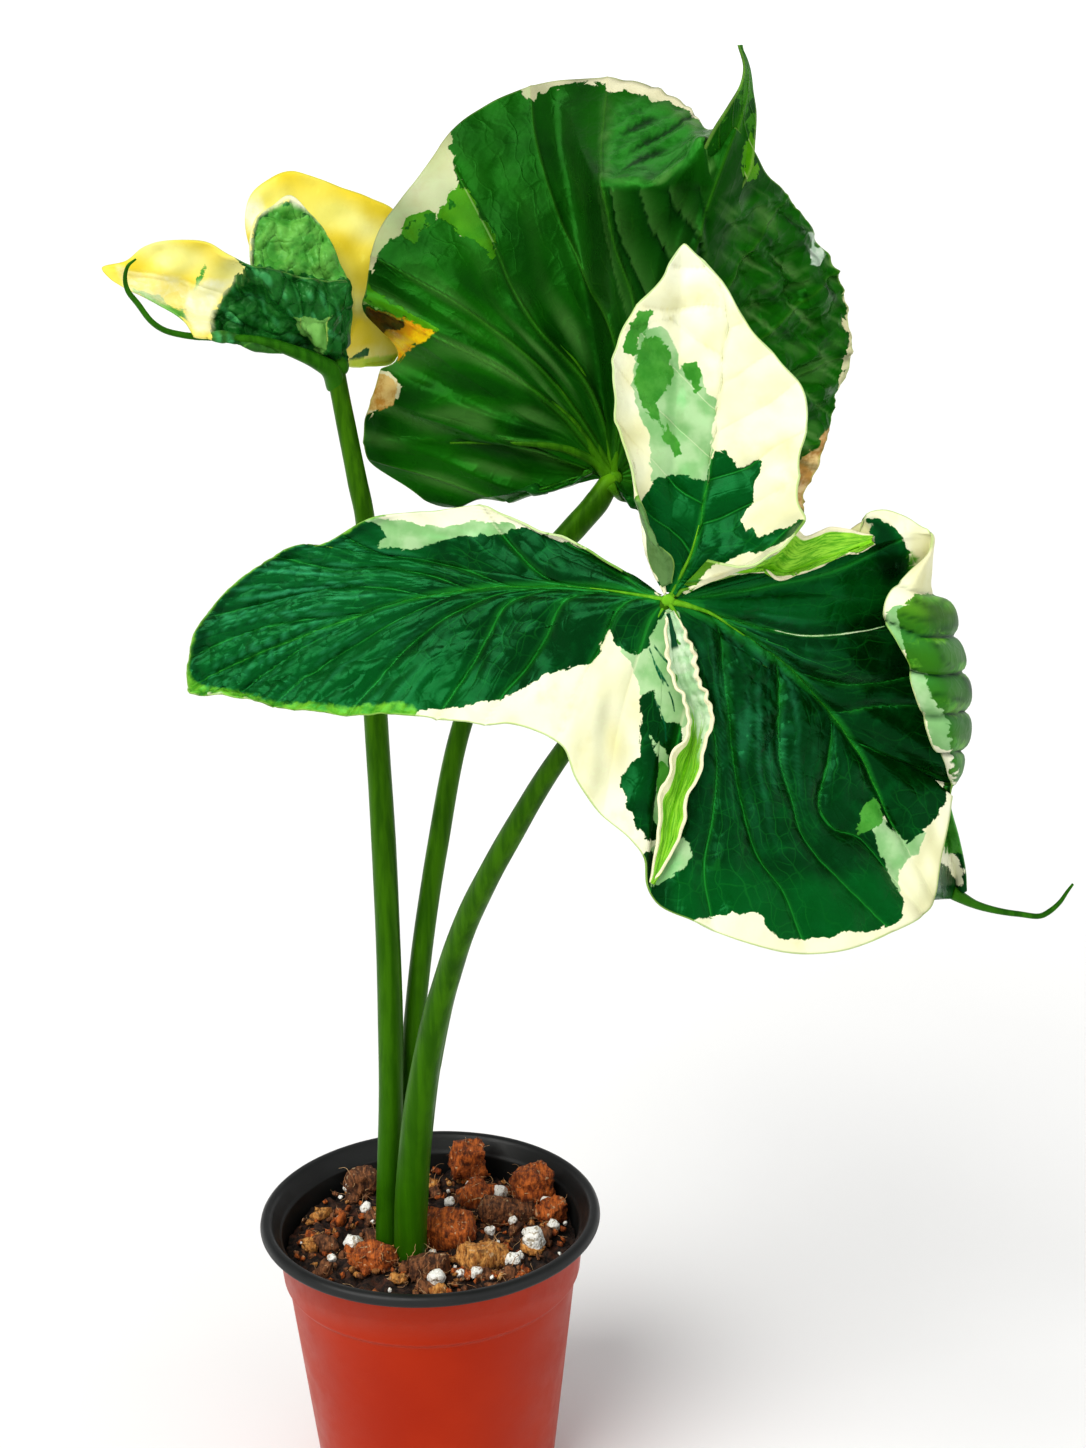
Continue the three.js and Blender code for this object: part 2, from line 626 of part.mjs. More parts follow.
// The front leaf: a long left lobe and the main blade in one sheet, an upper lobe, two
// raised crests between them, a margin that rolls forward on the right, and the tip's tail
const FRONT_HEART = [668, 600, 80];
const FRONT_LOWER_MARGIN = [
  [622, 570, 70], [577, 543, 62], [542, 529, 57], [486, 506, 50], [437, 510, 47],
  [373, 517, 43], [321, 545, 41], [293, 547, 40], [258, 568, 40], [223, 596, 41],
  [203, 620, 42], [191, 648, 44], [188, 676, 46], [191, 695, 49], [240, 699, 55],
  [286, 710, 60], [338, 716, 65], [412, 717, 71], [470, 724, 76], [521, 727, 80],
  [549, 738, 84], [563, 748, 86], [574, 778, 88], [601, 815, 90], [628, 838, 93],
  [643, 858, 95], [647, 886, 96], [658, 905, 97], [693, 922, 98], [735, 940, 99],
  [777, 952, 98], [819, 954, 96], [853, 948, 94], [888, 934, 90], [923, 915, 84],
  [934, 900, 82], [938, 873, 79], [941, 850, 77], [945, 826, 74], [949, 805, 71],
];
// Rolled ribs on the right: [free margin, outermost place of the roll]
const FRONT_ROLLED = [
  [[950, 784, 72], [955, 783, 68]],
  [[944, 760, 80], [962, 762, 71]],
  [[927, 730, 86], [967, 732, 73]],
  [[912, 690, 90], [967, 694, 74]],
  [[906, 655, 90], [962, 660, 74]],
  [[889, 632, 89], [956, 636, 73]],
  [[884, 611, 87], [951, 612, 72]],
  [[896, 588, 84], [934, 592, 70]],
  [[914, 562, 80], [933, 560, 68]],
  [[915, 545, 77], [934, 537, 66]],
  [[898, 530, 75], [915, 519, 64]],
  [[874, 524, 74], [883, 510, 64]],
];
const FRONT_UPPER_EDGE = [
  [858, 540, 68], [815, 556, 71], [780, 568, 74], [740, 574, 77], [706, 582, 79],
];
// Ribs of the upper lobe whose left margin rolls forward, then its plain margin
const UPPER_ROLLED = [
  [[676, 564, 84], [652, 568, 80]],
  [[666, 548, 86], [644, 543, 80]],
  [[650, 524, 83], [639, 512, 77]],
];
const UPPER_MARGIN = [
  [630, 478, 78], [620, 445, 75], [611, 402, 71], [611, 369, 68], [616, 339, 65],
  [632, 310, 62], [657, 282, 58], [683, 244, 52], [700, 257, 54], [727, 287, 58],
  [749, 325, 62], [779, 359, 67], [804, 389, 71], [809, 409, 73], [806, 441, 76],
  [800, 474, 79], [800, 500, 83], [806, 520, 86], [797, 538, 90], [778, 556, 93],
  [757, 566, 94], [730, 566, 91], [706, 563, 87],
];
// The crests, from the heart outward: pixels of the keel and of the left and right lip
const CREST_ONE = {
  height: 15,
  keel: [
    [667, 625], [672, 662], [684, 695], [692, 725], [690, 755], [680, 790], [670, 825],
    [662, 858], [654, 884],
  ],
  lips: [
    [
      [662, 628], [664, 662], [675, 690], [685, 716], [678, 746], [667, 780], [659, 815],
      [656, 850], [650, 884],
    ],
    [
      [680, 618], [693, 650], [703, 685], [714, 715], [707, 755], [694, 790], [684, 832],
      [666, 862], [655, 886],
    ],
  ],
};
const CREST_TWO = {
  height: 13,
  keel: [
    [704, 574], [728, 570], [752, 568], [778, 562], [802, 552], [828, 543], [850, 539],
    [868, 539],
  ],
  lips: [
    [
      [706, 580], [730, 577], [756, 573], [781, 580], [808, 569], [839, 556], [862, 550],
      [878, 544],
    ],
    [
      [704, 566], [728, 565], [750, 564], [776, 557], [799, 532], [826, 527], [848, 529],
      [862, 532],
    ],
  ],
};
// The blade's tip turned back behind the right margin: [outer edge, hollow, pixel on the blade]
const FRONT_TIP = [
  [[950, 806, 66], [944, 812, 62], [938, 818]],
  [[956, 830, 61], [946, 834, 57], [934, 840]],
  [[962, 852, 57], [950, 858, 53], [930, 862]],
  [[966, 874, 54], [955, 884, 50], [928, 884]],
  [[967, 890, 52], [955, 898, 50], [926, 900]],
];
const FRONT_TAIL = [
  [951, 892, 51], [962, 898, 50.5], [974, 904, 50], [988, 908.5, 49], [1004, 912, 48],
  [1019, 914, 47], [1040, 916, 46], [1050, 911, 45], [1060, 902, 44], [1067, 892, 43],
  [1073, 884, 42],
];
const FRONT_TAIL_WIDTHS = [14, 12, 9, 7.5, 6.5, 6, 5.5, 5.5, 4.5, 3.5, 2.5];

function frontLeaf(stub) {
  const lower = loft([
    ...FRONT_LOWER_MARGIN.map((margin) => rib(FRONT_HEART, margin, -5)),
    ...FRONT_ROLLED.map(([margin, fold]) => rib(FRONT_HEART, margin, -4, fold)),
    ...FRONT_UPPER_EDGE.map((margin) => rib(FRONT_HEART, margin, -2)),
  ], RIB_SPLITS);
  const upper = loft([
    ...UPPER_ROLLED.map(([margin, fold]) => rib(FRONT_HEART, margin, 0, fold)),
    ...UPPER_MARGIN.map((margin) => rib(FRONT_HEART, margin, -4)),
  ], SHORT_RIB_SPLITS);
  const tip = FRONT_TIP.map(([outer, hollow, [u, v]]) => {
    const inner = [u, v, nearOn(lower, u, v)];
    return [outer, mix(outer, hollow, 0.6), hollow, mix(hollow, inner, 0.5), inner];
  });
  const tailRadii = FRONT_TAIL.map((place, i) => halfWidth(place, FRONT_TAIL_WIDTHS[i]));
  return geometryOf(fuse([
    stub,
    knob(FRONT_HEART, 4),
    blade(lower),
    blade(upper),
    ...crest(lower, CREST_ONE),
    ...crest(lower, CREST_TWO),
    blade(tip),
    tube(FRONT_TAIL, tailRadii, 14, 6),
  ]));
}

// Assembly
const plant = new THREE.Group();

function add(name, geometry, color, roughness) {
  const material = new THREE.MeshStandardMaterial({ color, roughness, metalness: 0 });
  const mesh = new THREE.Mesh(geometry, material);
  mesh.name = name;
  plant.add(mesh);
}

const leftStalk = stalkParts(LEFT_STALK);
const middleStalk = stalkParts(MIDDLE_STALK);
const rightStalk = stalkParts(RIGHT_STALK);

add('pot', potGeometry(), '#a8331b', 0.45);
add('soil', soilGeometry([leftStalk.hole, middleStalk.hole, rightStalk.hole]), '#3a2418', 0.95);
add('petiole_left', leftStalk.stalk, '#4c8a1f', 0.45);
add('petiole_middle', middleStalk.stalk, '#3f7a20', 0.45);
add('petiole_right', rightStalk.stalk, '#4a8a22', 0.45);
add('leaf_left', leftLeaf(leftStalk.stub), '#c9c24a', 0.4);
add('leaf_back', backLeaf(middleStalk.stub), '#1d5a20', 0.45);
add('leaf_front', frontLeaf(rightStalk.stub), '#2b6b3a', 0.35);

export default plant;
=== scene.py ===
"""Looks of a variegated xanthosoma in its nursery pot: leaves, stalks, soil and pot."""

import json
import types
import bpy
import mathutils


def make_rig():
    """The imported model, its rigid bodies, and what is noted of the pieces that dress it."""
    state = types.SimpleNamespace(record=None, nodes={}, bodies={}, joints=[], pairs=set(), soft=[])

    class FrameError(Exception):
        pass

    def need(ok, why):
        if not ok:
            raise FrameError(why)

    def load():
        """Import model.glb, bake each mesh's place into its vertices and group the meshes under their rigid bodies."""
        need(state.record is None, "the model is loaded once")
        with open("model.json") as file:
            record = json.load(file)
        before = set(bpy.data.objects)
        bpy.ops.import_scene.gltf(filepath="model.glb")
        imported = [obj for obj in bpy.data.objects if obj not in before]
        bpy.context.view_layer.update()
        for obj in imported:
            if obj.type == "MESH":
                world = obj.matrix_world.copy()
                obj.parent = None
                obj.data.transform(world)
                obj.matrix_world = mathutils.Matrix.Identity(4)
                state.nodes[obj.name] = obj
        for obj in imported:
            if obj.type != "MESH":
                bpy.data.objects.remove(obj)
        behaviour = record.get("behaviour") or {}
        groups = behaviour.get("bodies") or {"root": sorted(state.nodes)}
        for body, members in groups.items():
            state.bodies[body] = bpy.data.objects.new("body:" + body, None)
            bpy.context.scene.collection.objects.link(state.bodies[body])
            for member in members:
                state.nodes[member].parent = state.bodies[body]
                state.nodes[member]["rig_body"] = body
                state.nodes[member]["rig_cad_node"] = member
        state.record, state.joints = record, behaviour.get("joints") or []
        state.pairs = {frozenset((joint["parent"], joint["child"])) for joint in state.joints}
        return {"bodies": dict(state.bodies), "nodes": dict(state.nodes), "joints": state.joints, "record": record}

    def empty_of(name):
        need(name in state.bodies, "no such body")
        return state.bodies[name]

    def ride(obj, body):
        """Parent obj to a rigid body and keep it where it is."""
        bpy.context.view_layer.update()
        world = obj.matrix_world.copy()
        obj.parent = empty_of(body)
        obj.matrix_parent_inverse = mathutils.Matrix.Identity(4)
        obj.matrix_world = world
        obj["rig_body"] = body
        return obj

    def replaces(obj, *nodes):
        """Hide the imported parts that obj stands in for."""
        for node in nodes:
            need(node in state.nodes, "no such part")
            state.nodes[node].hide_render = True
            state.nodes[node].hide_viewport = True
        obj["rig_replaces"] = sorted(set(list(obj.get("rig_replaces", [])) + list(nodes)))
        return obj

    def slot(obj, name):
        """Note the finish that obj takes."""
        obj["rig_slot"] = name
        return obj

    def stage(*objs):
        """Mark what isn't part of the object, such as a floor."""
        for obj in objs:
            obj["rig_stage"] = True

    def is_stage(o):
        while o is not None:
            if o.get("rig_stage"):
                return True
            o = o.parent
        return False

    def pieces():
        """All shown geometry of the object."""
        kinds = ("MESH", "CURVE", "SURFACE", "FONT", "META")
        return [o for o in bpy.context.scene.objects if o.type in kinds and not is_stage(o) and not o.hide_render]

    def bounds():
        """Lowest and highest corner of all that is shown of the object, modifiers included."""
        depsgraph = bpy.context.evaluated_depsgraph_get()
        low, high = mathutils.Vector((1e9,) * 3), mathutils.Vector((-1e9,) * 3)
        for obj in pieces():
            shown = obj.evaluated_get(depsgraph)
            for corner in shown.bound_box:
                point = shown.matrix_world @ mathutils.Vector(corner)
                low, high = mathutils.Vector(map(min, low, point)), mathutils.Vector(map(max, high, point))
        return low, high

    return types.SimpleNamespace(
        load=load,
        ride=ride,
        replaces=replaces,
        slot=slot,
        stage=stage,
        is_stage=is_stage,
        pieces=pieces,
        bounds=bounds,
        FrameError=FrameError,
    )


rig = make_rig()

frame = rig.load()

import json
import math
from types import SimpleNamespace

import bmesh
import bpy
import numpy as np

cad_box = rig.bounds()
MM = 0.001

# The view in which the plant's outlines were measured: a picture of 1086 by 1448 pixels.
# A place is [u, v, near]: the pixel, and the millimetres toward the viewer of the pot's
# upright middle plane.
POT_HEIGHT = 105.0
PICTURE = (1086, 1448)
FOCAL_PIXELS = 2011.0
EYE = np.array([42.5, -640.2, POT_HEIGHT + 353.5])
PITCH = math.radians(15.45)
ROLL = math.radians(-0.93)
FORWARD = np.array([0.0, math.cos(PITCH), -math.sin(PITCH)])
LEVEL = np.array([1.0, 0.0, 0.0])
UPRIGHT = np.cross(LEVEL, FORWARD)
RIGHT = math.cos(ROLL) * LEVEL + math.sin(ROLL) * UPRIGHT
UP = math.cos(ROLL) * UPRIGHT - math.sin(ROLL) * LEVEL
PIXEL = 0.33  # millimetres across one pixel at the plant


def at(places):
    """Millimetres in the row frame for an array of [u, v, near]."""
    places = np.asarray(places, float)
    across = (places[..., 0:1] - PICTURE[0] / 2) / FOCAL_PIXELS
    down = (PICTURE[1] / 2 - places[..., 1:2]) / FOCAL_PIXELS
    ray = FORWARD + across * RIGHT + down * UP
    return EYE + ray * ((-places[..., 2:3] - EYE[1]) / ray[..., 1:2])


def half_width(place, pixels):
    """Millimetres of half the width of something some pixels wide that crosses a place."""
    return pixels / 2 * float((at(place) - EYE) @ FORWARD) / FOCAL_PIXELS


def mix(a, b, t):
    a, b = np.asarray(a, float), np.asarray(b, float)
    return a + (b - a) * t


def ease(low, high, value):
    """0 at low and before it, 1 at high and past it, and smooth between. high may be the lower
    number, and the value then falls."""
    t = np.clip((value - low) / (high - low), 0, 1)
    return t * t * (3 - 2 * t)


def bell(off, width):
    """1 where a distance is 0, falling away to 0 past a width."""
    return np.exp(-((off / width) ** 2))


def spot(u, v, centre, reach):
    """1 at a pixel, falling away to 0 past a reach in u and in v."""
    return np.exp(-(((u - centre[0]) / reach[0]) ** 2 + ((v - centre[1]) / reach[1]) ** 2))


# Curves and grids
def smooth_through(points, where, steps=None):
    """A centripetal Catmull-Rom curve through points, at fractional indices. Points may
    carry a second axis of curves that run side by side."""
    points = np.asarray(points, float)
    padded = np.concatenate([2 * points[:1] - points[1:2], points, 2 * points[-1:] - points[-2:-1]])
    if steps is None:
        steps = np.sqrt(np.linalg.norm(np.diff(padded, axis=0), axis=-1)) + 1e-6
    index = np.clip(np.floor(where).astype(int), 0, len(points) - 2)
    shape = (-1,) + (1,) * (points.ndim - 1)
    t = (where - index).reshape(shape)
    p0, p1, p2, p3 = (padded[index + k] for k in range(4))
    d0, d1, d2 = (steps[index + k][..., None] for k in range(3))
    start = ((p1 - p0) / d0 - (p2 - p0) / (d0 + d1) + (p2 - p1) / d1) * d1
    end = ((p2 - p1) / d1 - (p3 - p1) / (d1 + d2) + (p3 - p2) / d2) * d1
    bend = 3 * (p2 - p1) - 2 * start - end
    rest = 2 * (p1 - p2) + start + end
    return p1 + start * t + bend * t ** 2 + rest * t ** 3


def dense_line(points, count):
    points = np.asarray(points, float)
    return smooth_through(points, np.linspace(0, len(points) - 1, count))


def even_places(points, count):
    """Fractional indices that lie evenly along a line of points."""
    length = np.linalg.norm(np.diff(points, axis=0), axis=-1)
    travelled = np.concatenate([[0], np.cumsum(length)])
    return np.interp(np.linspace(0, travelled[-1], count), travelled, np.arange(len(points)))


def fine_grid(ribs, columns, rows):
    """A smooth grid from ribs: [u, v, near] by column and row, with the rib and the
    station along the rib of each point."""
    ribs = np.asarray(ribs, float)
    stations = even_places(ribs[len(ribs) // 2], rows)
    along = smooth_through(ribs.transpose(1, 0, 2), stations)
    margin = along[int(rows * 0.8)]
    places = even_places(margin, columns)
    gaps = np.sqrt(np.linalg.norm(np.diff(margin, axis=0), axis=-1)) + 1e-6
    steps = np.concatenate([gaps[:1], gaps, gaps[-1:]])[:, None]
    steps = np.repeat(steps, rows, axis=1)
    grid = smooth_through(along.transpose(1, 0, 2), places, steps)
    rib_at, station_at = np.meshgrid(places, stations, indexing="ij")
    return grid, rib_at, station_at


def normals_of(world):
    along = np.gradient(world, axis=0)
    across = np.gradient(world, axis=1)
    normal = np.cross(along, across)
    normal /= np.linalg.norm(normal, axis=-1, keepdims=True) + 1e-9
    if normal[..., 1].mean() > 0:
        normal = -normal
    return normal


# Leaf ribs. A rib's places lie at shares of its length. Where a margin rolls forward, the blade
# dips before the roll and stands proud on it, by millimetres for each pixel of the roll's width.
HEART_GAP = 8
HEART_SHARE = 0.15
PLAIN_SHARES = (0.25, 0.5, 0.72, 0.86, 0.94, 1.0)
BENT_HEART_SHARE = 0.04
DIP_SHARE = 0.95
DIP_PER_PIXEL = 0.13
CROWN_SHARE = 0.45
CROWN_PER_PIXEL = 0.05
CROWN_MOST = 1.0


def rib(heart, margin, cup=0.0, fold=None):
    """Seven places from the heart to the margin. cup stands the middle toward the viewer.
    fold is the outermost place of a margin that rolls forward."""
    heart = np.asarray(heart, float)
    margin = np.asarray(margin, float)
    reach = margin if fold is None else np.asarray(fold, float)
    length = np.hypot(*(reach - heart)[:2])
    places = []
    for t in (min(HEART_GAP / length, HEART_SHARE), *PLAIN_SHARES):
        place = mix(heart, reach, t)
        place[2] += cup * 4 * t * (1 - t)
        places.append(place)
    if fold is None:
        return places
    width = np.hypot(*(reach - margin)[:2])
    dip = mix(heart, reach, DIP_SHARE)
    dip[2] = reach[2] - DIP_PER_PIXEL * width
    crown = mix(reach, margin, CROWN_SHARE)
    crown[2] = max(reach[2], margin[2]) + min(CROWN_MOST, CROWN_PER_PIXEL * width)
    return [*places[:3], dip, reach, crown, margin]


def bent_rib(heart, by, margin):
    """Seven places from the heart to the margin that swing toward a place between them."""
    shares = (BENT_HEART_SHARE, *PLAIN_SHARES)
    return [mix(mix(heart, by, t), mix(by, margin, t), t) for t in shares]


# Fields: distances in pixels of the measured view
OFF = -60.0  # a place far outside a part, by a plain and by a fainter measure
FAINT_OFF = -40.0
NO_RIB = 90.0


def inside(outline, u, v):
    """Distance to a closed outline, positive inside."""
    corners = np.asarray(outline, float)
    nearest = np.full(u.shape, 1e9)
    within = np.zeros(u.shape, bool)
    for (ax, ay), (bx, by) in zip(corners, np.roll(corners, -1, axis=0)):
        dx, dy = bx - ax, by - ay
        t = np.clip(((u - ax) * dx + (v - ay) * dy) / (dx * dx + dy * dy), 0, 1)
        nearest = np.minimum(nearest, np.hypot(u - ax - t * dx, v - ay - t * dy))
        if ay != by:
            crosses = (ay > v) != (by > v)
            within ^= crosses & (u < ax + (v - ay) * dx / dy)
    return np.where(within, nearest, -nearest)


def inside_any(outlines, u, v):
    return np.max([inside(outline, u, v) for outline in outlines], axis=0)


def along_line(line, u, v, count=160):
    """How far along a line, and how far to its left, each point lies. A line runs on
    straight past its ends."""
    points = dense_line(line, count)
    travelled = np.concatenate([[0], np.cumsum(np.linalg.norm(np.diff(points, axis=0), axis=1))])
    best = np.full(u.shape, 1e9)
    way = np.zeros(u.shape)
    side = np.zeros(u.shape)
    for k in range(count - 1):
        step = points[k + 1] - points[k]
        length = np.hypot(*step)
        forward = ((u - points[k, 0]) * step[0] + (v - points[k, 1]) * step[1]) / length
        left = ((u - points[k, 0]) * step[1] - (v - points[k, 1]) * step[0]) / length
        low = -1e9 if k == 0 else 0
        high = 1e9 if k == count - 2 else length
        off = np.hypot(forward - np.clip(forward, low, high), left)
        closer = off < best
        best = np.where(closer, off, best)
        way = np.where(closer, travelled[k] + np.clip(forward, low, high), way)
        side = np.where(closer, np.where(left < 0, -off, off), side)
    return way, side


def line_strength(lines, u, v):
    """1 on the nearest line, falling to 0 away from it. A line is (points, width)."""
    strength = np.zeros(u.shape)
    for line, width in lines:
        off, share = off_line(line, u, v)
        strength = np.maximum(strength, bell(off, width * (1.15 - 0.75 * share)))
    return strength


def off_line(line, u, v):
    """Distance to a line that stops at its ends, and the share of the line passed there."""
    points = dense_line(line, 90)
    off = np.full(u.shape, 1e9)
    share = np.zeros(u.shape)
    for k, (x, y) in enumerate(points[:-1]):
        dx, dy = points[k + 1] - points[k]
        t = np.clip(((u - x) * dx + (v - y) * dy) / (dx * dx + dy * dy + 1e-9), 0, 1)
        here = np.hypot(u - x - t * dx, v - y - t * dy)
        share = np.where(here < off, (k + t) / len(points), share)
        off = np.minimum(off, here)
    return off, share


def main_rib(lines, u, v):
    """Fields of the main ribs: the signed distance to the nearest, and its half width."""
    rib = np.full(u.shape, NO_RIB)
    thick = np.full(u.shape, 0.05)
    for line, width in lines:
        off, share = off_line(line, u, v)
        _, side = along_line(line, u, v, 90)
        nearer = off < np.abs(rib)
        rib = np.where(nearer, np.where(side < 0, -off, off), rib)
        thick = np.where(nearer, width * (1 - 0.8 * share), thick)
    return {"rib": rib, "rib_thick": thick}


def feather_veins(midrib, u, v, spacing, slopes, bend, fan=0.34):
    """Numbers the side veins of a midrib: a whole number on each vein. slopes are how much
    each side's veins lean to the tip. Behind the midrib's start they fan out."""
    way, side = along_line(midrib, u, v)
    off = np.abs(side)
    slope = np.where(side > 0, slopes[0], slopes[1])
    lean = slope * off + bend * off ** 2
    start = way - lean
    turned = np.arctan2(off, way) - np.arctan2(off, lean + 1e-6)
    number = np.where(start > 0, start / spacing, -turned / fan)
    across = spacing / np.sqrt(1 + slope ** 2)
    reach = np.hypot(way, off)
    gap = np.where(start > 0, across, np.minimum(across, reach * fan))
    return number + np.where(side > 0, 0, 0.45), gap


def numbered_between(lines, u, v):
    """Numbers points between side-by-side lines: a whole number on each line."""
    sides = np.stack([along_line(line, u, v, 60)[1] for line in lines])
    if sides[0].mean() < sides[-1].mean():
        sides = -sides
    number = np.zeros(u.shape)
    gap = np.full(u.shape, 60.0)
    for k in range(len(lines) - 1):
        here = (sides[k] >= 0) & (sides[k + 1] < 0)
        room = sides[k] - sides[k + 1]
        number = np.where(here, k + sides[k] / np.maximum(room, 1e-6), number)
        gap = np.where(here, room, gap)
    number = np.where(sides[-1] >= 0, len(lines) - 1 + sides[-1] / 60, number)
    number = np.where(sides[0] < 0, sides[0] / 60, number)
    return number, gap


def from_vein(number, gap):
    """Millimetres to the nearest numbered vein."""
    return np.abs(number - np.round(number)) * gap * PIXEL


def wavy(u, v, size, seed):
    """A smooth field from -1 to 1 with bumps of a size in pixels."""
    rng = np.random.default_rng(seed)
    total = np.zeros(u.shape)
    for _ in range(7):
        angle = rng.uniform(0, 2 * math.pi)
        pitch = 2 * math.pi / (size * rng.uniform(0.7, 1.6))
        phase = rng.uniform(0, 2 * math.pi)
        total += np.sin((u * math.cos(angle) + v * math.sin(angle)) * pitch + phase)
    return total / 4


def blisters(u, v, size, seed):
    """Uneven domes about a size in pixels across, with sharp creases between: 0 in a crease,
    up to 1 on top."""
    shift = np.random.default_rng(seed).uniform(0.0, 1.0, (64, 64, 2))
    across = u / size + 0.35 * wavy(u, v, 2.6 * size, seed + 1)
    down = v / size + 0.35 * wavy(u, v, 2.6 * size, seed + 2)
    nearest = np.full(u.shape, 9.0)
    second = np.full(u.shape, 9.0)
    for i in (-1, 0, 1):
        for j in (-1, 0, 1):
            column = np.floor(across).astype(int) + i
            row = np.floor(down).astype(int) + j
            place = shift[column % 64, row % 64]
            off = np.hypot(across - column - place[..., 0], down - row - place[..., 1])
            second = np.minimum(second, np.maximum(nearest, off))
            nearest = np.minimum(nearest, off)
    return np.clip(1.6 * (second - nearest), 0, 1) ** 0.6


def veined_relief(number, gap, main, depth, pillow):
    """Millimetres toward the upper face: pillows between veins, grooves on them."""
    off = from_vein(number, gap)
    half = np.maximum(gap * PIXEL / 2, 0.5)
    swell = 1 - (1 - np.clip(off / half, 0, 1)) ** 2
    return pillow * swell * np.clip(half / 6, 0, 1) - depth * main


# Meshes
def placed(name, data):
    """An object that shows some data in the scene."""
    piece = bpy.data.objects.new(name, data)
    bpy.context.scene.collection.objects.link(piece)
    return piece


def add_object(name, vertices, faces):
    """A smooth mesh from vertices in millimetres, held inside the CAD's box."""
    mesh = bpy.data.meshes.new(name)
    low, high = np.array(cad_box)
    mesh.from_pydata(np.clip(np.asarray(vertices) * MM, low, high).tolist(), [], faces)
    mesh.validate()
    mesh.update()
    smooth(mesh)
    return placed(name, mesh)


def smooth(mesh):
    mesh.polygons.foreach_set("use_smooth", [True] * len(mesh.polygons))


def set_field(piece, name, values):
    attribute = piece.data.attributes.new(name, "FLOAT", "POINT")
    attribute.data.foreach_set("value", np.asarray(values, np.float32).ravel())


# The material slot of a part's pieces, and the CAD node that they replace
FRONT = ("leaf_variegated", "leaf_front")
BACK = ("leaf_green", "leaf_back")
LEFT = ("leaf_yellow", "leaf_left")
SOIL = ("soil_mix", "soil")
EDGE_SHARE = 0.75  # of a blade's thickness at its margin


def finish_piece(piece, material, slot, node):
    piece.data.materials.append(material)
    mark(piece, slot, node)


def mark(piece, slot, node):
    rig.ride(piece, "root")
    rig.slot(piece, slot)
    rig.replaces(piece, node)


def sheet_object(name, grid, relief, fields, thickness=0.75):
    """A thin closed leaf blade from a grid, with its fields on both faces."""
    world = at(grid)
    world = world + normals_of(world) * relief[..., None]
    normal = normals_of(world)
    columns, rows = world.shape[:2]
    half = np.full((columns, rows, 1), thickness / 2)
    half[:, -1] *= EDGE_SHARE
    vertices = np.concatenate([world + normal * half, world - normal * half]).reshape(-1, 3)
    flip = np.cross(world[1, 0] - world[0, 0], world[0, 1] - world[0, 0]) @ normal[0, 0] < 0
    piece = add_object(name, vertices, sheet_faces(columns, rows, flip))
    for field, values in fields.items():
        set_field(piece, field, np.concatenate([np.ravel(values)] * 2))
    count = columns * rows
    set_field(piece, "upper", np.concatenate([np.ones(count), np.zeros(count)]))
    return piece


def sheet_faces(columns, rows, flip):
    """The faces of a sheet's front, its back and the rim that joins them."""
    count = columns * rows
    index = np.arange(count).reshape(columns, rows)
    a, b, c, d = index[:-1, :-1], index[1:, :-1], index[1:, 1:], index[:-1, 1:]
    front = np.stack([a, d, c, b] if flip else [a, b, c, d], axis=-1).reshape(-1, 4)
    back = front[:, ::-1] + count
    loop = np.concatenate([index[:, 0], index[-1, 1:], index[-2::-1, -1], index[0, -2:0:-1]])
    following = np.roll(loop, -1)
    sides = [following, loop, loop + count, following + count]
    rim = np.stack(sides[::-1] if flip else sides, axis=-1)
    return np.concatenate([front, back, rim]).tolist()


def tube_rings(centres, radii, sides, shape=None):
    """Rings of points round a line of centres, turned as little as they can be."""
    centres = np.asarray(centres, float)
    heading = np.gradient(centres, axis=0)
    heading /= np.linalg.norm(heading, axis=1, keepdims=True)
    side = np.cross(heading[0], [0.0, 1.0, 0.02])
    side /= np.linalg.norm(side)
    angles = around(sides)
    rings = []
    for k, (centre, ahead, radius) in enumerate(zip(centres, heading, radii)):
        side = side - ahead * (side @ ahead)
        side /= np.linalg.norm(side)
        other = np.cross(ahead, side)
        section = np.ones(sides) if shape is None else shape(angles, k / (len(centres) - 1))
        circle = np.cos(angles)[:, None] * side + np.sin(angles)[:, None] * other
        rings.append(centre + (radius * section)[:, None] * circle)
    return np.array(rings)


def around(sides):
    return np.linspace(0, 2 * math.pi, sides, endpoint=False)


def ring_faces(count, sides, offset=0):
    """The faces between rings of points, with a lid on each end."""
    faces = []
    for i in range(count - 1):
        for j in range(sides):
            a = offset + i * sides + j
            b = offset + i * sides + (j + 1) % sides
            faces.append((a, b, b + sides, a + sides))
    faces.append(tuple(offset + j for j in reversed(range(sides))))
    faces.append(tuple(offset + (count - 1) * sides + j for j in range(sides)))
    return faces


def tube_object(name, centres, radii, sides, shape=None):
    rings = tube_rings(centres, radii, sides, shape)
    piece = add_object(name, rings.reshape(-1, 3), ring_faces(len(rings), sides))
    set_field(piece, "along", np.repeat(np.linspace(0, 1, len(rings)), sides))
    set_field(piece, "around", np.tile(np.linspace(0, 1, sides, endpoint=False), len(rings)))
    return piece


# Shader nodes
class Value:
    """What a shader node puts out. Sums and products of values add the nodes that reckon them."""

    def __init__(self, nodes, socket):
        self.nodes = nodes
        self.socket = socket

    def __add__(self, other):
        return self.nodes.math("ADD", self, other)

    def __sub__(self, other):
        return self.nodes.math("SUBTRACT", self, other)

    def __rsub__(self, other):
        return self.nodes.math("SUBTRACT", other, self)

    def __mul__(self, other):
        return self.nodes.math("MULTIPLY", self, other)

    def __truediv__(self, other):
        return self.nodes.math("DIVIDE", self, other)

    def __abs__(self):
        return self.nodes.math("ABSOLUTE", self)

    def __round__(self):
        return self.nodes.math("ROUND", self)


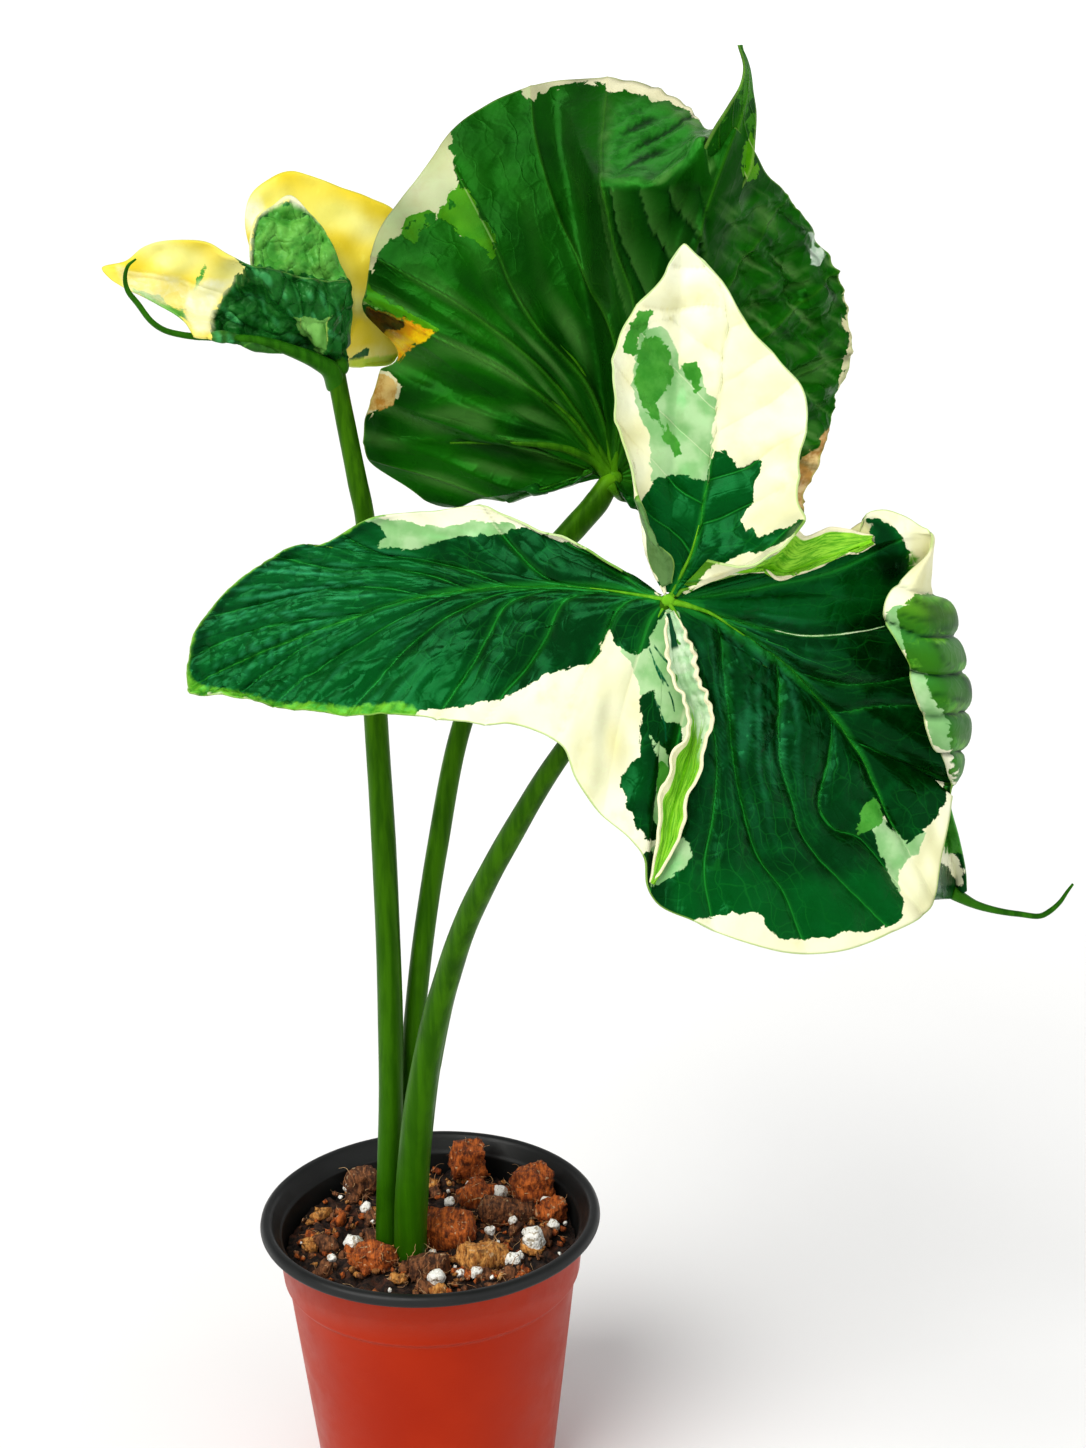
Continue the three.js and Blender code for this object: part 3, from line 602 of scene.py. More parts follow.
class Nodes:
    """Short ways to write a material's nodes."""

    def __init__(self, name):
        self.material = bpy.data.materials.new(name)
        self.material.use_nodes = True
        self.tree = self.material.node_tree
        self.shader = self.tree.nodes["Principled BSDF"]
        self.objects = self.add("ShaderNodeTexCoord", "Object")

    def put(self, socket, value):
        if isinstance(value, Value):
            self.tree.links.new(value.socket, socket)
        elif isinstance(value, tuple) and socket.type == "RGBA":
            socket.default_value = (*value, 1)
        else:
            socket.default_value = value

    def add(self, kind, output=0, inputs=(), **settings):
        """A new node's output. Its inputs are in their order, or a dictionary by name."""
        node = self.tree.nodes.new(kind)
        for key, value in settings.items():
            setattr(node, key, value)
        entries = inputs.items() if isinstance(inputs, dict) else enumerate(inputs)
        for key, value in entries:
            self.put(node.inputs[key], value)
        return Value(self, node.outputs[output])

    def field(self, name):
        return self.add("ShaderNodeAttribute", "Fac", attribute_name=name)

    def math(self, operation, *values):
        return self.add("ShaderNodeMath", inputs=values, operation=operation)

    def most(self, first, *others):
        for other in others:
            first = self.math("MAXIMUM", first, other)
        return first

    def ramp(self, value, low, high, start=0.0, end=1.0):
        inputs = (value, low, high, start, end)
        return self.add("ShaderNodeMapRange", inputs=inputs, interpolation_type="SMOOTHSTEP")

    def fade(self, value, low, high, start=1.0):
        return self.ramp(value, low, high, start, 0.0)

    def blend(self, share, a, b):
        inputs = {0: share, 6: a, 7: b}
        return self.add("ShaderNodeMix", 2, inputs, data_type="RGBA", blend_type="MIX")

    def stretched(self, scale):
        return self.add("ShaderNodeMapping", inputs={"Vector": self.objects, "Scale": scale})

    def straying(self, scale, reach):
        """Places that stray from where they are, so that what is drawn there bends."""
        inputs = (self.noise(scale, output="Color"), (reach, reach, reach), self.objects)
        return self.add("ShaderNodeVectorMath", inputs=inputs, operation="MULTIPLY_ADD")

    def noise(self, scale, detail=2.0, rough=0.5, places=None, output="Fac"):
        inputs = {"Vector": places or self.objects, "Scale": scale, "Detail": detail,
                  "Roughness": rough}
        return self.add("ShaderNodeTexNoise", output, inputs)

    def cells(self, scale, feature="F1", output="Distance", places=None):
        inputs = {"Vector": places or self.objects, "Scale": scale}
        return self.add("ShaderNodeTexVoronoi", output, inputs, feature=feature)

    def bump(self, height, distance, strength, **normal):
        inputs = {"Height": height, "Distance": distance, "Strength": strength, **normal}
        return self.add("ShaderNodeBump", 0, inputs)

    def set(self, **values):
        for key, value in values.items():
            self.put(self.shader.inputs[key.replace("_", " ")], value)
        return self.material


# A variegated blade's looks. "block" and "ragged" are the jags of its outlines in pixels; the
# shares are how much of a vein's, net's, rib's or edge's colour shows; "groove" and "pucker"
# are heights before "depth", in millimetres, scales them. A look names what differs.
# "soft" in a look is the colour of a painted sheen, and "deep" is the colour of painted shade.
PLAIN_LOOK = {
    "block": 4.0, "ragged": 8.0, "net": 130, "bead": 230, "vein_share": 0.55, "fine_share": 0.2,
    "net_share": 0.16, "rib_share": 0.85, "cream_net": 0.2, "edge_share": 0.6, "groove": 0.7,
    "pucker": 3.2, "depth": 0.45, "matte": 0.15, "edge": (0.32, 0.50, 0.11),
    "deep": (0.0, 0.010, 0.001), "spots": {},
}
SPOT_EDGE = (0.7, 1.0)


class BladeNodes(Nodes):
    """The nodes of a variegated blade. They read its fields: distances in pixels into the
    green, pale and fresh green parts, the numbered side veins, the main rib and the margin."""

    def __init__(self, name, look):
        super().__init__(name)
        self.look = {**PLAIN_LOOK, **look}
        block = self.cells(260, output="Color") - 0.5
        ragged = self.noise(430, 3, 0.6) - 0.5
        self.jag = block * self.look["block"] + ragged * self.look["ragged"]
        self.upper = self.field("upper")
        self.small = self.noise(170, 3, 0.6)
        self.read_veins()

    def part(self, field, share=1.0, sharp=0.6):
        """1 inside a part's jagged outline and 0 outside."""
        return self.ramp(self.field(field) + self.jag * share, -sharp, sharp)

    def off_lines(self, number, share):
        """Millimetres to the nearest of the numbered lines."""
        return abs(number - round(number)) * (self.field("gap") * (PIXEL * share))

    def read_veins(self):
        """The side veins, the finer veins between them, the net of veinlets and the ribs."""
        number = self.field("number")
        shown = self.ramp(self.noise(60, 2), 0.42, 0.62)
        self.vein_off = self.off_lines(number, 1.0)
        vein_widths = self.vein_off / self.field("thick")
        self.vein = self.fade(vein_widths, 0.5, 1.3)
        self.fine_off = self.off_lines(number * 4.0 + self.noise(70, 2) * 2.2, 0.25)
        self.fine = self.fade(self.fine_off, 0.04, 0.26) * shown
        bent = self.straying(90, 0.005)
        self.net_off = self.cells(self.look["net"], "DISTANCE_TO_EDGE", places=bent)
        self.net = self.fade(self.net_off, 0.0, 0.035) * shown
        self.bead = self.cells(self.look["bead"], places=bent)
        rib_widths = abs(self.field("rib")) / self.field("rib_thick")
        self.rib = self.fade(rib_widths, 0.55, 1.15)
        self.glow = self.most(self.fade(rib_widths, 1.0, 5.5, 0.7),
                              self.fade(vein_widths, 0.8, 4.0, 0.28))

    def green(self):
        look = self.look
        # The tone field also carries painted light and shade on the front and back blades.
        patchy = self.ramp(self.noise(32, 4, 0.55) + self.field("tone") * 0.3, 0.36, 0.66)
        green = self.blend(patchy, *look["green"][:2])
        green = self.blend(self.ramp(self.small, 0.45, 0.75, 0.0, 0.36), green, look["green"][2])
        green = self.blend(self.upper, self.blend(patchy, *look["under"]), green)
        vein_green = self.blend(self.upper, look["vein_under"], look["vein"])
        veins = self.most(self.vein * look["vein_share"], self.fine * look["fine_share"],
                          self.net * look["net_share"])
        for share in (self.glow, veins):
            green = self.blend(share, green, vein_green)
        # The soft field paints a sheen in the look's soft colour: a painted highlight.
        return self.blend(self.field("soft"), green, look["soft"])

    def cream(self):
        first, second, deep = self.look["cream"]
        cream = self.blend(self.ramp(self.noise(28, 3, 0.5), 0.35, 0.68), first, second)
        stains = self.ramp(self.noise(70, 4, 0.6), 0.52, 0.8, 0.0, 0.7)
        netted = self.most(self.vein, self.net) * self.look["cream_net"]
        # The warm field deepens the cream toward yellow: partly the cream's own tint, partly painted shade.
        for share in (stains, netted, self.field("warm")):
            cream = self.blend(share, cream, deep)
        return cream

    def ribbed(self, colour):
        rib_green = self.blend(self.upper, self.look["rib_under"], self.look["rib"])
        rib_colour = self.blend(self.part("green", 0.3, 5.0), self.look["rib_cream"], rib_green)
        return self.blend(self.rib * self.look["rib_share"], colour, rib_colour)

    def colour(self):
        look = self.look
        pale = self.blend(self.ramp(self.noise(120, 3), 0.35, 0.65), *look["pale"])
        pale = self.blend(self.vein * 0.3, pale, look["cream"][0])
        fresh = self.blend(self.ramp(self.small, 0.35, 0.65), *look["fresh"])
        colour = self.blend(self.part("pale", 0.8), self.cream(), pale)
        colour = self.blend(self.part("green"), colour, self.green())
        colour = self.ribbed(self.blend(self.part("fresh", 1.2), colour, fresh))
        for field, (first, second, *edge) in look["spots"].items():
            shade = self.blend(self.ramp(self.noise(160, 5, 0.65), 0.36, 0.6), first, second)
            colour = self.blend(self.part(field, *(edge or SPOT_EDGE)), colour, shade)
        margin = self.fade(self.field("edge"), 0.7, 2.0, look["edge_share"])
        colour = self.blend(margin, colour, look["edge"])
        # The shade field is painted shade: it darkens the colour toward the look's deep colour.
        return self.blend(self.field("shade"), colour, look["deep"])

    def height(self):
        """Grooves on the veins and puckers between them, turned over on the other face."""
        height = self.fade(self.vein_off, 0.0, 1.0) * self.look["groove"]
        height = height + self.fade(self.fine_off, 0.0, 0.6) * 0.09
        height = height + self.fade(self.net_off, 0.0, 0.12) * 0.1
        height = height + self.field("pucker") * (self.bead * self.bead) * self.look["pucker"]
        height = height * (self.part("green") * 0.8 + 0.2) * (1.0 - self.upper * 2.0)
        return height + self.noise(80, 3, 0.5) * 1.6 + self.noise(800, 2) * 0.06

    def roughness(self):
        rough = self.ramp(self.noise(140, 4, 0.6), 0.3, 0.7, *self.look["rough"])
        return rough + (1.0 - self.upper) * self.look["matte"]


def leaf_material(name, look):
    n = BladeNodes(name, look)
    normal = n.bump(n.height(), n.look["depth"] * MM, 0.8)
    return n.set(Base_Color=n.colour(), Roughness=n.roughness(), Normal=normal,
                 Specular_IOR_Level=look["gloss"], Specular_Tint=look["tint"])


FRONT_LOOK = {
    "green": ((0.0002, 0.020, 0.0010), (0.0003, 0.061, 0.0058), (0.001, 0.090, 0.013)),
    "under": ((0.038, 0.15, 0.006), (0.10, 0.25, 0.012)),
    "vein": (0.016, 0.22, 0.022), "vein_under": (0.03, 0.15, 0.02),
    # soft is the colour of the painted sheen
    "soft": (0.032, 0.235, 0.105),
    "pale": ((0.22, 0.42, 0.17), (0.37, 0.54, 0.29)),
    "fresh": ((0.045, 0.22, 0.02), (0.08, 0.29, 0.04)),
    "cream": ((0.77, 0.75, 0.51), (0.80, 0.79, 0.62), (0.69, 0.64, 0.34)),
    "rib": (0.035, 0.26, 0.018), "rib_under": (0.16, 0.40, 0.07), "rib_cream": (0.72, 0.74, 0.48),
    "rough": (0.24, 0.40), "tint": (0.12, 1.0, 0.36), "gloss": 0.36, "cream_net": 0.06,
    "net_share": 0.18, "fine_share": 0.22, "vein_share": 0.6, "net": 170,
    "spots": {
        "lime": ((0.04, 0.22, 0.010), (0.15, 0.42, 0.03), 1.0, 2.5),
        # dark slits beside the crest, painted as shadow
        "slits": ((0.0, 0.05, 0.02), (0.005, 0.10, 0.04), 0.15, 0.4),
        "matte": ((0.09, 0.17, 0.05), (0.13, 0.23, 0.08)),
        "streak": ((0.72, 0.80, 0.56), (0.50, 0.68, 0.36), 0.12, 0.5),
    },
}


# The front leaf
FRONT_HEART = (668, 600, 80)
FRONT_LOWER_MARGIN = [
    (622, 570, 70), (577, 543, 62), (542, 529, 57), (486, 506, 50), (437, 510, 47),
    (373, 517, 43), (321, 545, 41), (293, 547, 40), (258, 568, 40), (223, 596, 41),
    (203, 620, 42), (191, 648, 44), (188, 676, 46), (191, 695, 49), (240, 699, 55),
    (286, 710, 60), (338, 716, 65), (412, 717, 71), (470, 724, 76), (521, 727, 80),
    (549, 738, 84), (563, 748, 86), (574, 778, 88), (601, 815, 90), (628, 838, 93),
    (643, 858, 95), (647, 886, 96), (658, 905, 97), (693, 922, 98), (735, 940, 99),
    (777, 952, 98), (819, 954, 96), (853, 948, 94), (888, 934, 90), (923, 915, 84),
    (934, 900, 82), (938, 873, 79), (941, 850, 77), (945, 826, 74), (949, 805, 71),
]
FRONT_ROLLED = [
    ((951, 784, 72), (955, 783, 68)), ((948, 764, 79), (958, 768, 70)),
    ((937, 752, 83), (963, 752, 71)), ((928, 731, 86.5), (966, 732, 73)),
    ((919, 704, 89.5), (967, 708, 74)), ((910, 678, 90), (966, 686, 74)),
    ((909, 662, 90), (962, 662, 74)), ((897, 641, 89.5), (956, 641, 73)),
    ((885, 622, 88), (954, 624, 72.5)), ((884, 607, 87), (948, 606, 72)),
    ((893, 590, 85), (931, 590, 70)), ((909, 572, 82), (931, 570, 68.5)),
    ((929, 553, 77), (932, 551, 69)), ((931, 535, 70), (933, 536, 69)),
]
HOOD_EDGE = [
    ((868, 548, 70), (917, 524, 68)), ((864, 546, 70), (901, 515, 66)),
    ((862, 545, 69), (882, 510, 65)), ((858, 543, 69), (866, 514, 66)),
    ((856, 541, 69), (861, 526, 68)),
]
FRONT_UPPER_EDGE = [
    (858, 540, 68), (815, 553, 71), (780, 563, 74), (740, 573, 77), (706, 582, 79),
]
UPPER_ROLLED = [
    ((673, 584, 81.5), (662, 587, 80)),
    ((676, 564, 84), (652, 568, 80)),
    ((666, 548, 86), (644, 543, 80)),
    ((650, 524, 83), (639, 512, 77)),
]
UPPER_MARGIN = [
    (630, 478, 78), (620, 445, 75), (611, 402, 71), (611, 369, 68), (616, 339, 65),
    (632, 310, 62), (657, 282, 58), (683, 244, 52), (700, 257, 54), (727, 287, 58),
    (749, 325, 62), (779, 359, 67), (804, 389, 71), (809, 409, 73), (806, 441, 76),
    (800, 474, 79), (800, 500, 83), (806, 520, 86), (797, 538, 90), (778, 556, 93),
    (757, 566, 94), (730, 566, 91), (706, 563, 87),
]
# The line between the lobe's green part and the pale part above it
LOBE_TOP = [
    (369, 520), (382, 528), (386, 538), (376, 543), (379, 548), (396, 549), (415, 551), (425, 545),
    (445, 539), (462, 536), (488, 537), (507, 531), (512, 528),
]
# The green parts: the left lobe, the main blade and the patch beside the first crest
GREEN_LOBE = [
    (668, 607), (661, 619), (651, 636), (648, 646), (638, 654), (624, 649), (615, 639), (611, 628),
    (601, 642), (600, 652), (591, 662), (558, 672), (535, 682), (512, 696), (488, 702), (465, 709),
    (419, 713), (415, 722), (340, 722), (280, 716), (256, 704), (240, 696), (196, 693), (180, 690),
    (175, 620), (230, 560), (330, 525), (355, 521), *LOBE_TOP, (545, 531), (561, 540), (578, 545),
    (592, 551), (640, 575),
]
GREEN_BLADE = [
    (668, 598), (672, 640), (690, 700), (694, 740), (682, 790), (668, 835), (658, 850), (645, 853),
    (636, 862), (636, 890), (656, 916), (690, 926), (693, 920), (712, 918), (730, 914), (736, 916),
    (752, 912), (761, 917), (760, 925), (770, 934), (783, 939), (829, 937), (839, 931), (863, 934),
    (879, 929), (891, 926), (898, 918), (901, 909), (899, 894), (891, 887), (888, 872), (879, 850),
    (869, 829), (882, 816), (885, 825), (898, 835), (905, 844), (910, 838), (925, 829), (935, 816),
    (941, 804), (944, 790), (975, 790), (980, 700), (965, 600), (925, 598), (910, 575), (910, 556),
    (900, 536), (888, 524), (876, 518), (865, 518), (866, 522), (871, 525), (870, 533), (874, 541),
    (866, 546), (840, 552), (800, 562), (760, 570), (720, 574), (690, 585),
]
DARK_PATCH = [
    (642, 698), (650, 691), (662, 690), (672, 700), (684, 740), (672, 790), (662, 840), (646, 841),
    (637, 825), (628, 810), (629, 805), (621, 788), (623, 776), (631, 763), (640, 757),
]
FRONT_PALE = [
    [*LOBE_TOP, (505, 522), (472, 521), (445, 526), (425, 525), (399, 519), (379, 518)],
    [
        (868, 829), (879, 822), (885, 827), (898, 835), (905, 844), (910, 838), (919, 838), (918, 856),
        (907, 857), (899, 866), (896, 888), (891, 888), (888, 872), (885, 860), (879, 850), (873, 836),
    ],
    [
        (666, 608), (650, 641), (648, 655), (653, 672), (655, 690), (662, 720), (704, 722), (708, 695),
        (699, 680), (695, 651), (689, 639), (677, 611),
    ],
    [
        (655, 850), (682, 838), (688, 844), (690, 856), (682, 868), (674, 874), (662, 884), (650, 888),
    ],
    [(650, 735), (668, 756), (668, 790), (662, 835), (652, 818), (654, 795), (660, 770)],
    [(637, 655), (648, 645), (653, 660), (655, 690), (640, 688), (632, 668), (628, 652)],
]
FRONT_FRESH = [
    [(856, 829), (860, 807), (874, 799), (882, 816), (879, 822), (867, 829), (857, 832)],
    [(660, 760), (672, 770), (666, 800), (654, 790)],
]
LOBE_MIDRIB = [
    (664, 599), (640, 594), (600, 588), (565, 586), (478, 588), (412, 599), (366, 613), (303, 636),
    (246, 659), (196, 684),
]
BLADE_MIDRIB = [
    (670, 601), (705, 612), (736, 630), (774, 655), (801, 680), (829, 711), (848, 736), (863, 760),
    (876, 788), (885, 810), (900, 838),
]
PALE_VEIN = [
    (705, 611), (749, 624), (774, 630), (798, 635), (829, 635), (857, 632), (886, 626),
]
# The blade's veins in their order round the heart. Each sets out from the heart.
BLADE_VEINS = [
    [(668, 602), (676, 622), (694, 670), (716, 745), (712, 820), (704, 870), (712, 925)],
    [
        (670, 601), (698, 610), (716, 622), (722, 655), (724, 686), (730, 729), (733, 763), (740, 798),
        (749, 835), (761, 863), (783, 891), (800, 935),
    ],
    [
        *BLADE_MIDRIB[:4], (778, 674), (778, 717), (780, 763), (792, 801), (799, 829), (817, 857),
        (848, 888), (878, 918),
    ],
    [*BLADE_MIDRIB[:6], (829, 754), (821, 785), (818, 807), (833, 829), (857, 837), (895, 880)],
    BLADE_MIDRIB,
    [*BLADE_MIDRIB[:7], (888, 757), (925, 770), (960, 782)],
    [*BLADE_MIDRIB[:6], (873, 706), (910, 705), (960, 712)],
    [*BLADE_MIDRIB[:4], (800, 672), (836, 683), (879, 683), (910, 677), (960, 672)],
    [*BLADE_MIDRIB[:2], *PALE_VEIN[1:], (950, 612)],
    [(670, 600), (720, 594), (770, 585), (830, 572), (890, 545)],
]
LOBE_VEINS = [
    [(668, 600), (640, 588), (600, 560), (560, 535), (545, 515)],
    [(668, 600), (600, 588), (548, 579), (512, 546), (480, 505)],
    [(668, 600), (565, 586), (512, 586), (462, 569), (412, 558), (379, 554), (330, 530)],
    [(668, 600), (565, 586), (472, 589), (432, 576), (379, 568), (339, 570), (290, 560)],
    [(668, 600), (478, 588), (432, 596), (386, 588), (339, 588), (296, 596), (240, 610)],
    [(668, 600), (478, 588), (412, 599), (366, 613), (303, 620), (250, 632), (195, 655)],
    LOBE_MIDRIB,
    [(668, 600), (412, 599), (366, 613), (346, 626), (306, 646), (263, 676), (235, 700)],
    [(668, 600), (478, 590), (412, 613), (366, 639), (323, 666), (289, 692), (262, 716)],
    [(668, 600), (520, 590), (462, 609), (412, 643), (379, 679), (352, 712), (340, 730)],
    [(668, 600), (560, 590), (508, 603), (488, 636), (472, 666), (445, 706), (430, 730)],
    [(668, 600), (610, 592), (565, 600), (545, 639), (528, 666), (505, 692), (480, 730)],
    [(668, 600), (640, 598), (621, 606), (601, 646), (588, 670), (560, 730)],
    [(668, 600), (655, 612), (640, 650), (620, 720), (600, 830)],
]
LOBE_LIME = [
    (184, 640), (190, 655), (193, 680), (205, 688), (222, 692), (243, 693), (262, 700), (290, 705),
    (340, 708), (380, 707), (415, 708), (419, 716), (400, 722), (340, 720), (286, 714), (262, 707),
    (240, 700), (187, 698), (180, 670),
]
FOLD_NUB = [(943, 783), (952, 780), (958, 790), (954, 797), (947, 793)]
# Painted shadow inside the hood, where the margin curls over
HOOD_SHADOW = [
    (862, 520), (871, 517), (880, 520), (890, 524), (897, 534), (902, 545), (908, 557), (909, 568),
    (898, 583), (884, 592), (876, 570), (868, 548), (872, 534),
]
HOOD_LIME = [(907, 554), (912, 553), (917, 558), (913, 565), (909, 569), (907, 562)]
HOOD_CURL = [(850, 518), (866, 519), (868, 524), (872, 530), (874, 541), (862, 548), (848, 548)]
# Dark slits beside the first crest, painted as shadow in them
CREST_SLITS = [
    [(650, 648), (657, 664), (663, 676), (668, 686)], [(655, 645), (662, 655), (669, 664)],
    [(654, 660), (659, 672), (664, 684)], [(660, 652), (664, 657), (668, 661)],
    [(656, 700), (664, 722), (666, 742)], [(668, 690), (672, 700), (674, 712)],
]
KEEL_END = (640, 940)  # where the first crest's keel line would leave the blade
LOBE_END = 700
BLADE_MIDDLE = ((755, 700), (55, 100))  # a place and how far it reaches
WEB = ((610, 735), (36, 60))
HOOD_CORNER = (905, 570)
VEIN_REACH = 330
PILLOW_CREASES = (594, 637, 676, 716, 755, 788)
ROLL_TOP = (590, 600)
ROLL_FOOT = (786, 772)
ROLL_AXIS = 938
ROLL_BOW = 0.006
PILLOW_BOW = 0.0062
# Zones that go from 0 to 1 between two pixels along u or v
FRONT_BANDS = {
    "blade": ("u", 640, 700), "top": ("v", 660, 590), "foot": ("v", 820, 900),
    "below_heart": ("v", 575, 610), "left": ("u", 480, 300), "far_left": ("u", 430, 250),
    "quilted": ("u", 520, 300), "folded": ("u", 560, 330), "lobe_right": ("u", 380, 480),
    "lobe_low": ("v", 600, 690), "lobe_foot": ("v", 640, 690), "rim_side": ("u", 420, 335),
    "rim_top": ("v", 690, 650), "right": ("u", 895, 925), "right_low": ("v", 780, 840),
    "warm_right": ("u", 905, 925), "warm_low": ("v", 800, 860), "under_hood": ("v", 515, 540),
    "above_roll": ("v", 610, 590), "roll_side": ("u", 905, 915), "roll_outer": ("u", 946, 966),
    "roll_low": ("v", 700, 760),
}
ROLL_GREEN = [
    (906, 602), (914, 596), (927, 594), (975, 592), (990, 700), (975, 790), (954, 790), (954, 774),
    (952, 761), (947, 743), (946, 725), (941, 711), (934, 700), (927, 690), (926, 674), (911, 672),
    (907, 660), (903, 643), (898, 633), (898, 611), (903, 608), (910, 606),
]
ROLL_PALE = [
    [(883, 614), (899, 611), (899, 634), (904, 644), (896, 644), (884, 626)],
    [
        (910, 671), (927, 673), (928, 690), (935, 700), (942, 711), (947, 725), (947, 743),
        (936, 744), (925, 716), (914, 690),
    ],
]
CREST_SLIT = [(668, 619), (676, 620), (678, 645), (674, 660), (668, 654), (666, 640)]
UPPER_MIDRIB = [(668, 600), (693, 553), (707, 484), (716, 424), (724, 354), (726, 302), (700, 258)]
UPPER_DARK = [
    (652, 480), (671, 473), (688, 478), (706, 481), (709, 470), (713, 456), (717, 452), (726, 453),
    (734, 461), (737, 470), (752, 463), (764, 461), (762, 473), (756, 483), (754, 503), (750, 512),
    (744, 522), (749, 534), (755, 528), (760, 538), (786, 528), (800, 520), (815, 522), (830, 529),
    (800, 536), (786, 543), (765, 552), (740, 557), (715, 566), (690, 590), (668, 610), (655, 560),
    (640, 500),
]
UPPER_PALE = [
    [
        (651, 326), (661, 328), (669, 341), (676, 354), (680, 371), (685, 365), (698, 365), (705, 375),
        (708, 395), (717, 398), (713, 436), (708, 456), (705, 480), (681, 476), (654, 478), (649, 463),
        (649, 436), (641, 422), (632, 402), (631, 368), (637, 334),
    ],
]
UPPER_FRESH = [
    [
        (644, 336), (654, 336), (661, 344), (668, 351), (671, 371), (669, 385), (661, 392), (654, 402),
        (658, 415), (668, 436), (678, 442), (683, 456), (674, 456), (664, 442), (654, 422), (644, 412),
        (636, 398), (637, 385), (632, 375), (637, 351),
    ],
    [(683, 365), (698, 363), (705, 375), (702, 388), (695, 392), (691, 382)],
    [
        (636, 311), (651, 311), (644, 327), (636, 334), (634, 354), (624, 356), (622, 344), (627, 327),
    ],
]


def leaf_fields(grid, **fields):
    """The fields that every blade's material reads, with plain values where none is given."""
    u, v = grid[..., 0], grid[..., 1]
    far = np.full(u.shape, OFF)
    none = np.zeros(u.shape)
    plain = dict.fromkeys(("green", "pale", "fresh", "rib", "matte", "lime", "slits", "streak"), far)
    plain.update(dict.fromkeys(("tone", "soft", "warm", "shade"), none))
    plain.update(number=none + 0.5, gap=none + 40, thick=none + 0.3, rib_thick=none + 0.3,
                 pucker=none + 0.15, edge=from_margin(u, v))
    fields = {**plain, **fields}
    green, pale = fields["green"], fields["pale"]
    fields["pale"] = pale + 6 * ease(-9, -3, green)
    fields["green"] = np.minimum(green, -pale)
    return fields


def from_margin(u, v):
    return np.hypot(u - u[:, -1:], v - v[:, -1:])


def front_ribs():
    """The blade's ribs in their order round the heart, and the first and last that roll."""
    ribs = [rib(FRONT_HEART, margin, -5) for margin in FRONT_LOWER_MARGIN]
    first = len(ribs) - 0.6
    ribs += [rib(FRONT_HEART, margin, -4 + 2 * ease(8, 13, k), fold)
             for k, (margin, fold) in enumerate(FRONT_ROLLED)]
    last = len(ribs) - 0.6
    ribs += [bent_rib(FRONT_HEART, by, margin) for by, margin in HOOD_EDGE]
    ribs += [rib(FRONT_HEART, margin, -2) for margin in FRONT_UPPER_EDGE]
    return ribs, first, last


def bands(limits, u, v):
    """Zones of a blade by name. Each goes from 0 to 1 between two pixels along u or v."""
    axes = {"u": u, "v": v}
    zones = {name: ease(start, full, axes[axis]) for name, (axis, start, full) in limits.items()}
    return SimpleNamespace(u=u, v=v, **zones)


def front_places(u, v):
    """Where the blade's veins, zones and streaks lie, and where its painted sheen, painted shade and yellower cream
    fall.
    """
    p = bands(FRONT_BANDS, u, v)
    _, keel_side = along_line([*CREST_ONE["keel"], KEEL_END], u, v, 60)
    p.lobe = (keel_side < 0) & (u < LOBE_END)
    lobe_veins = numbered_between(LOBE_VEINS, u, v)
    blade_veins = numbered_between(BLADE_VEINS, u, v)
    p.number, p.gap = (np.where(p.lobe, a, b) for a, b in zip(lobe_veins, blade_veins))
    p.reach = np.hypot(u - FRONT_HEART[0], v - FRONT_HEART[1])
    p.ribs = main_rib([(LOBE_MIDRIB, 1.7), (BLADE_MIDRIB, 2.1), (PALE_VEIN, 1.0)], u, v)
    p.middle = p.blade * spot(u, v, *BLADE_MIDDLE)
    p.web = spot(u, v, *WEB)
    p.curl = ease(-2, 3, inside(HOOD_CURL, u, v))
    p.streaks = np.where(p.lobe, wavy(95 * p.number, 0.16 * p.reach, 15, 87),
                         wavy(60 * p.number, 0.22 * p.reach, 15, 87))
    p.strokes = wavy(60 * p.number, 0.9 * p.reach, 13, 91)
    p.edge = from_margin(u, v)
    p.rimmed = p.rim_side * p.rim_top * p.lobe
    return p


def front_parts(u, v, over):
    """Distances into the green, pale and fresh green parts of the blade and of its roll."""
    green = inside_any([GREEN_LOBE, GREEN_BLADE, DARK_PATCH], u, v)
    pale = np.minimum(inside_any(FRONT_PALE, u, v), -inside(CREST_SLIT, u, v))
    return {
        "green": np.where(over, inside_any([ROLL_GREEN, FOLD_NUB], u, v), green),
        "pale": np.where(over, inside_any(ROLL_PALE, u, v), pale),
        "fresh": np.where(over, OFF, inside_any(FRONT_FRESH, u, v)),
    }


# Tone of the green, and painted shade: the blade lighter at its top and foot, darker in its middle.
def front_tone_and_shading(p):
    blade = p.blade * (2.6 * p.top + 2.4 * p.foot - 1.1)
    return 0.6 - 1.2 * p.lobe_right + blade + 0.6 * p.lobe * p.lobe_foot


def front_painted_sheen(p):
    """Painted sheen: a painted highlight that lies in streaks on the lobe and in the blade's middle."""
    soft = (0.08 + 0.75 * ease(0.25, 0.9, p.streaks)) * p.left * (1 - 0.6 * p.lobe_low)
    soft += p.middle * (0.45 * ease(-0.1, 0.8, p.streaks) + 0.25 * ease(0.3, 1.0, p.strokes))
    return np.clip(soft, 0, 1)


def front_shade(p):
    """Shade inside the lobe's lime edge, under the hood, between streaks and by the web."""
    low_right = p.right * p.right_low * (0.6 + 0.5 * wavy(p.u, 0.3 * p.v, 16, 84))
    shade = 0.7 * p.rimmed * ease(2, 5, p.edge) * ease(17, 9, p.edge)
    shade = shade + 0.85 * ease(-4, 9, inside(HOOD_SHADOW, p.u, p.v))
    shade = shade + 0.5 * p.left * ease(0.3, 1.0, -p.streaks)
    return shade + 0.22 * p.curl + 0.12 * p.web + 0.24 * low_right


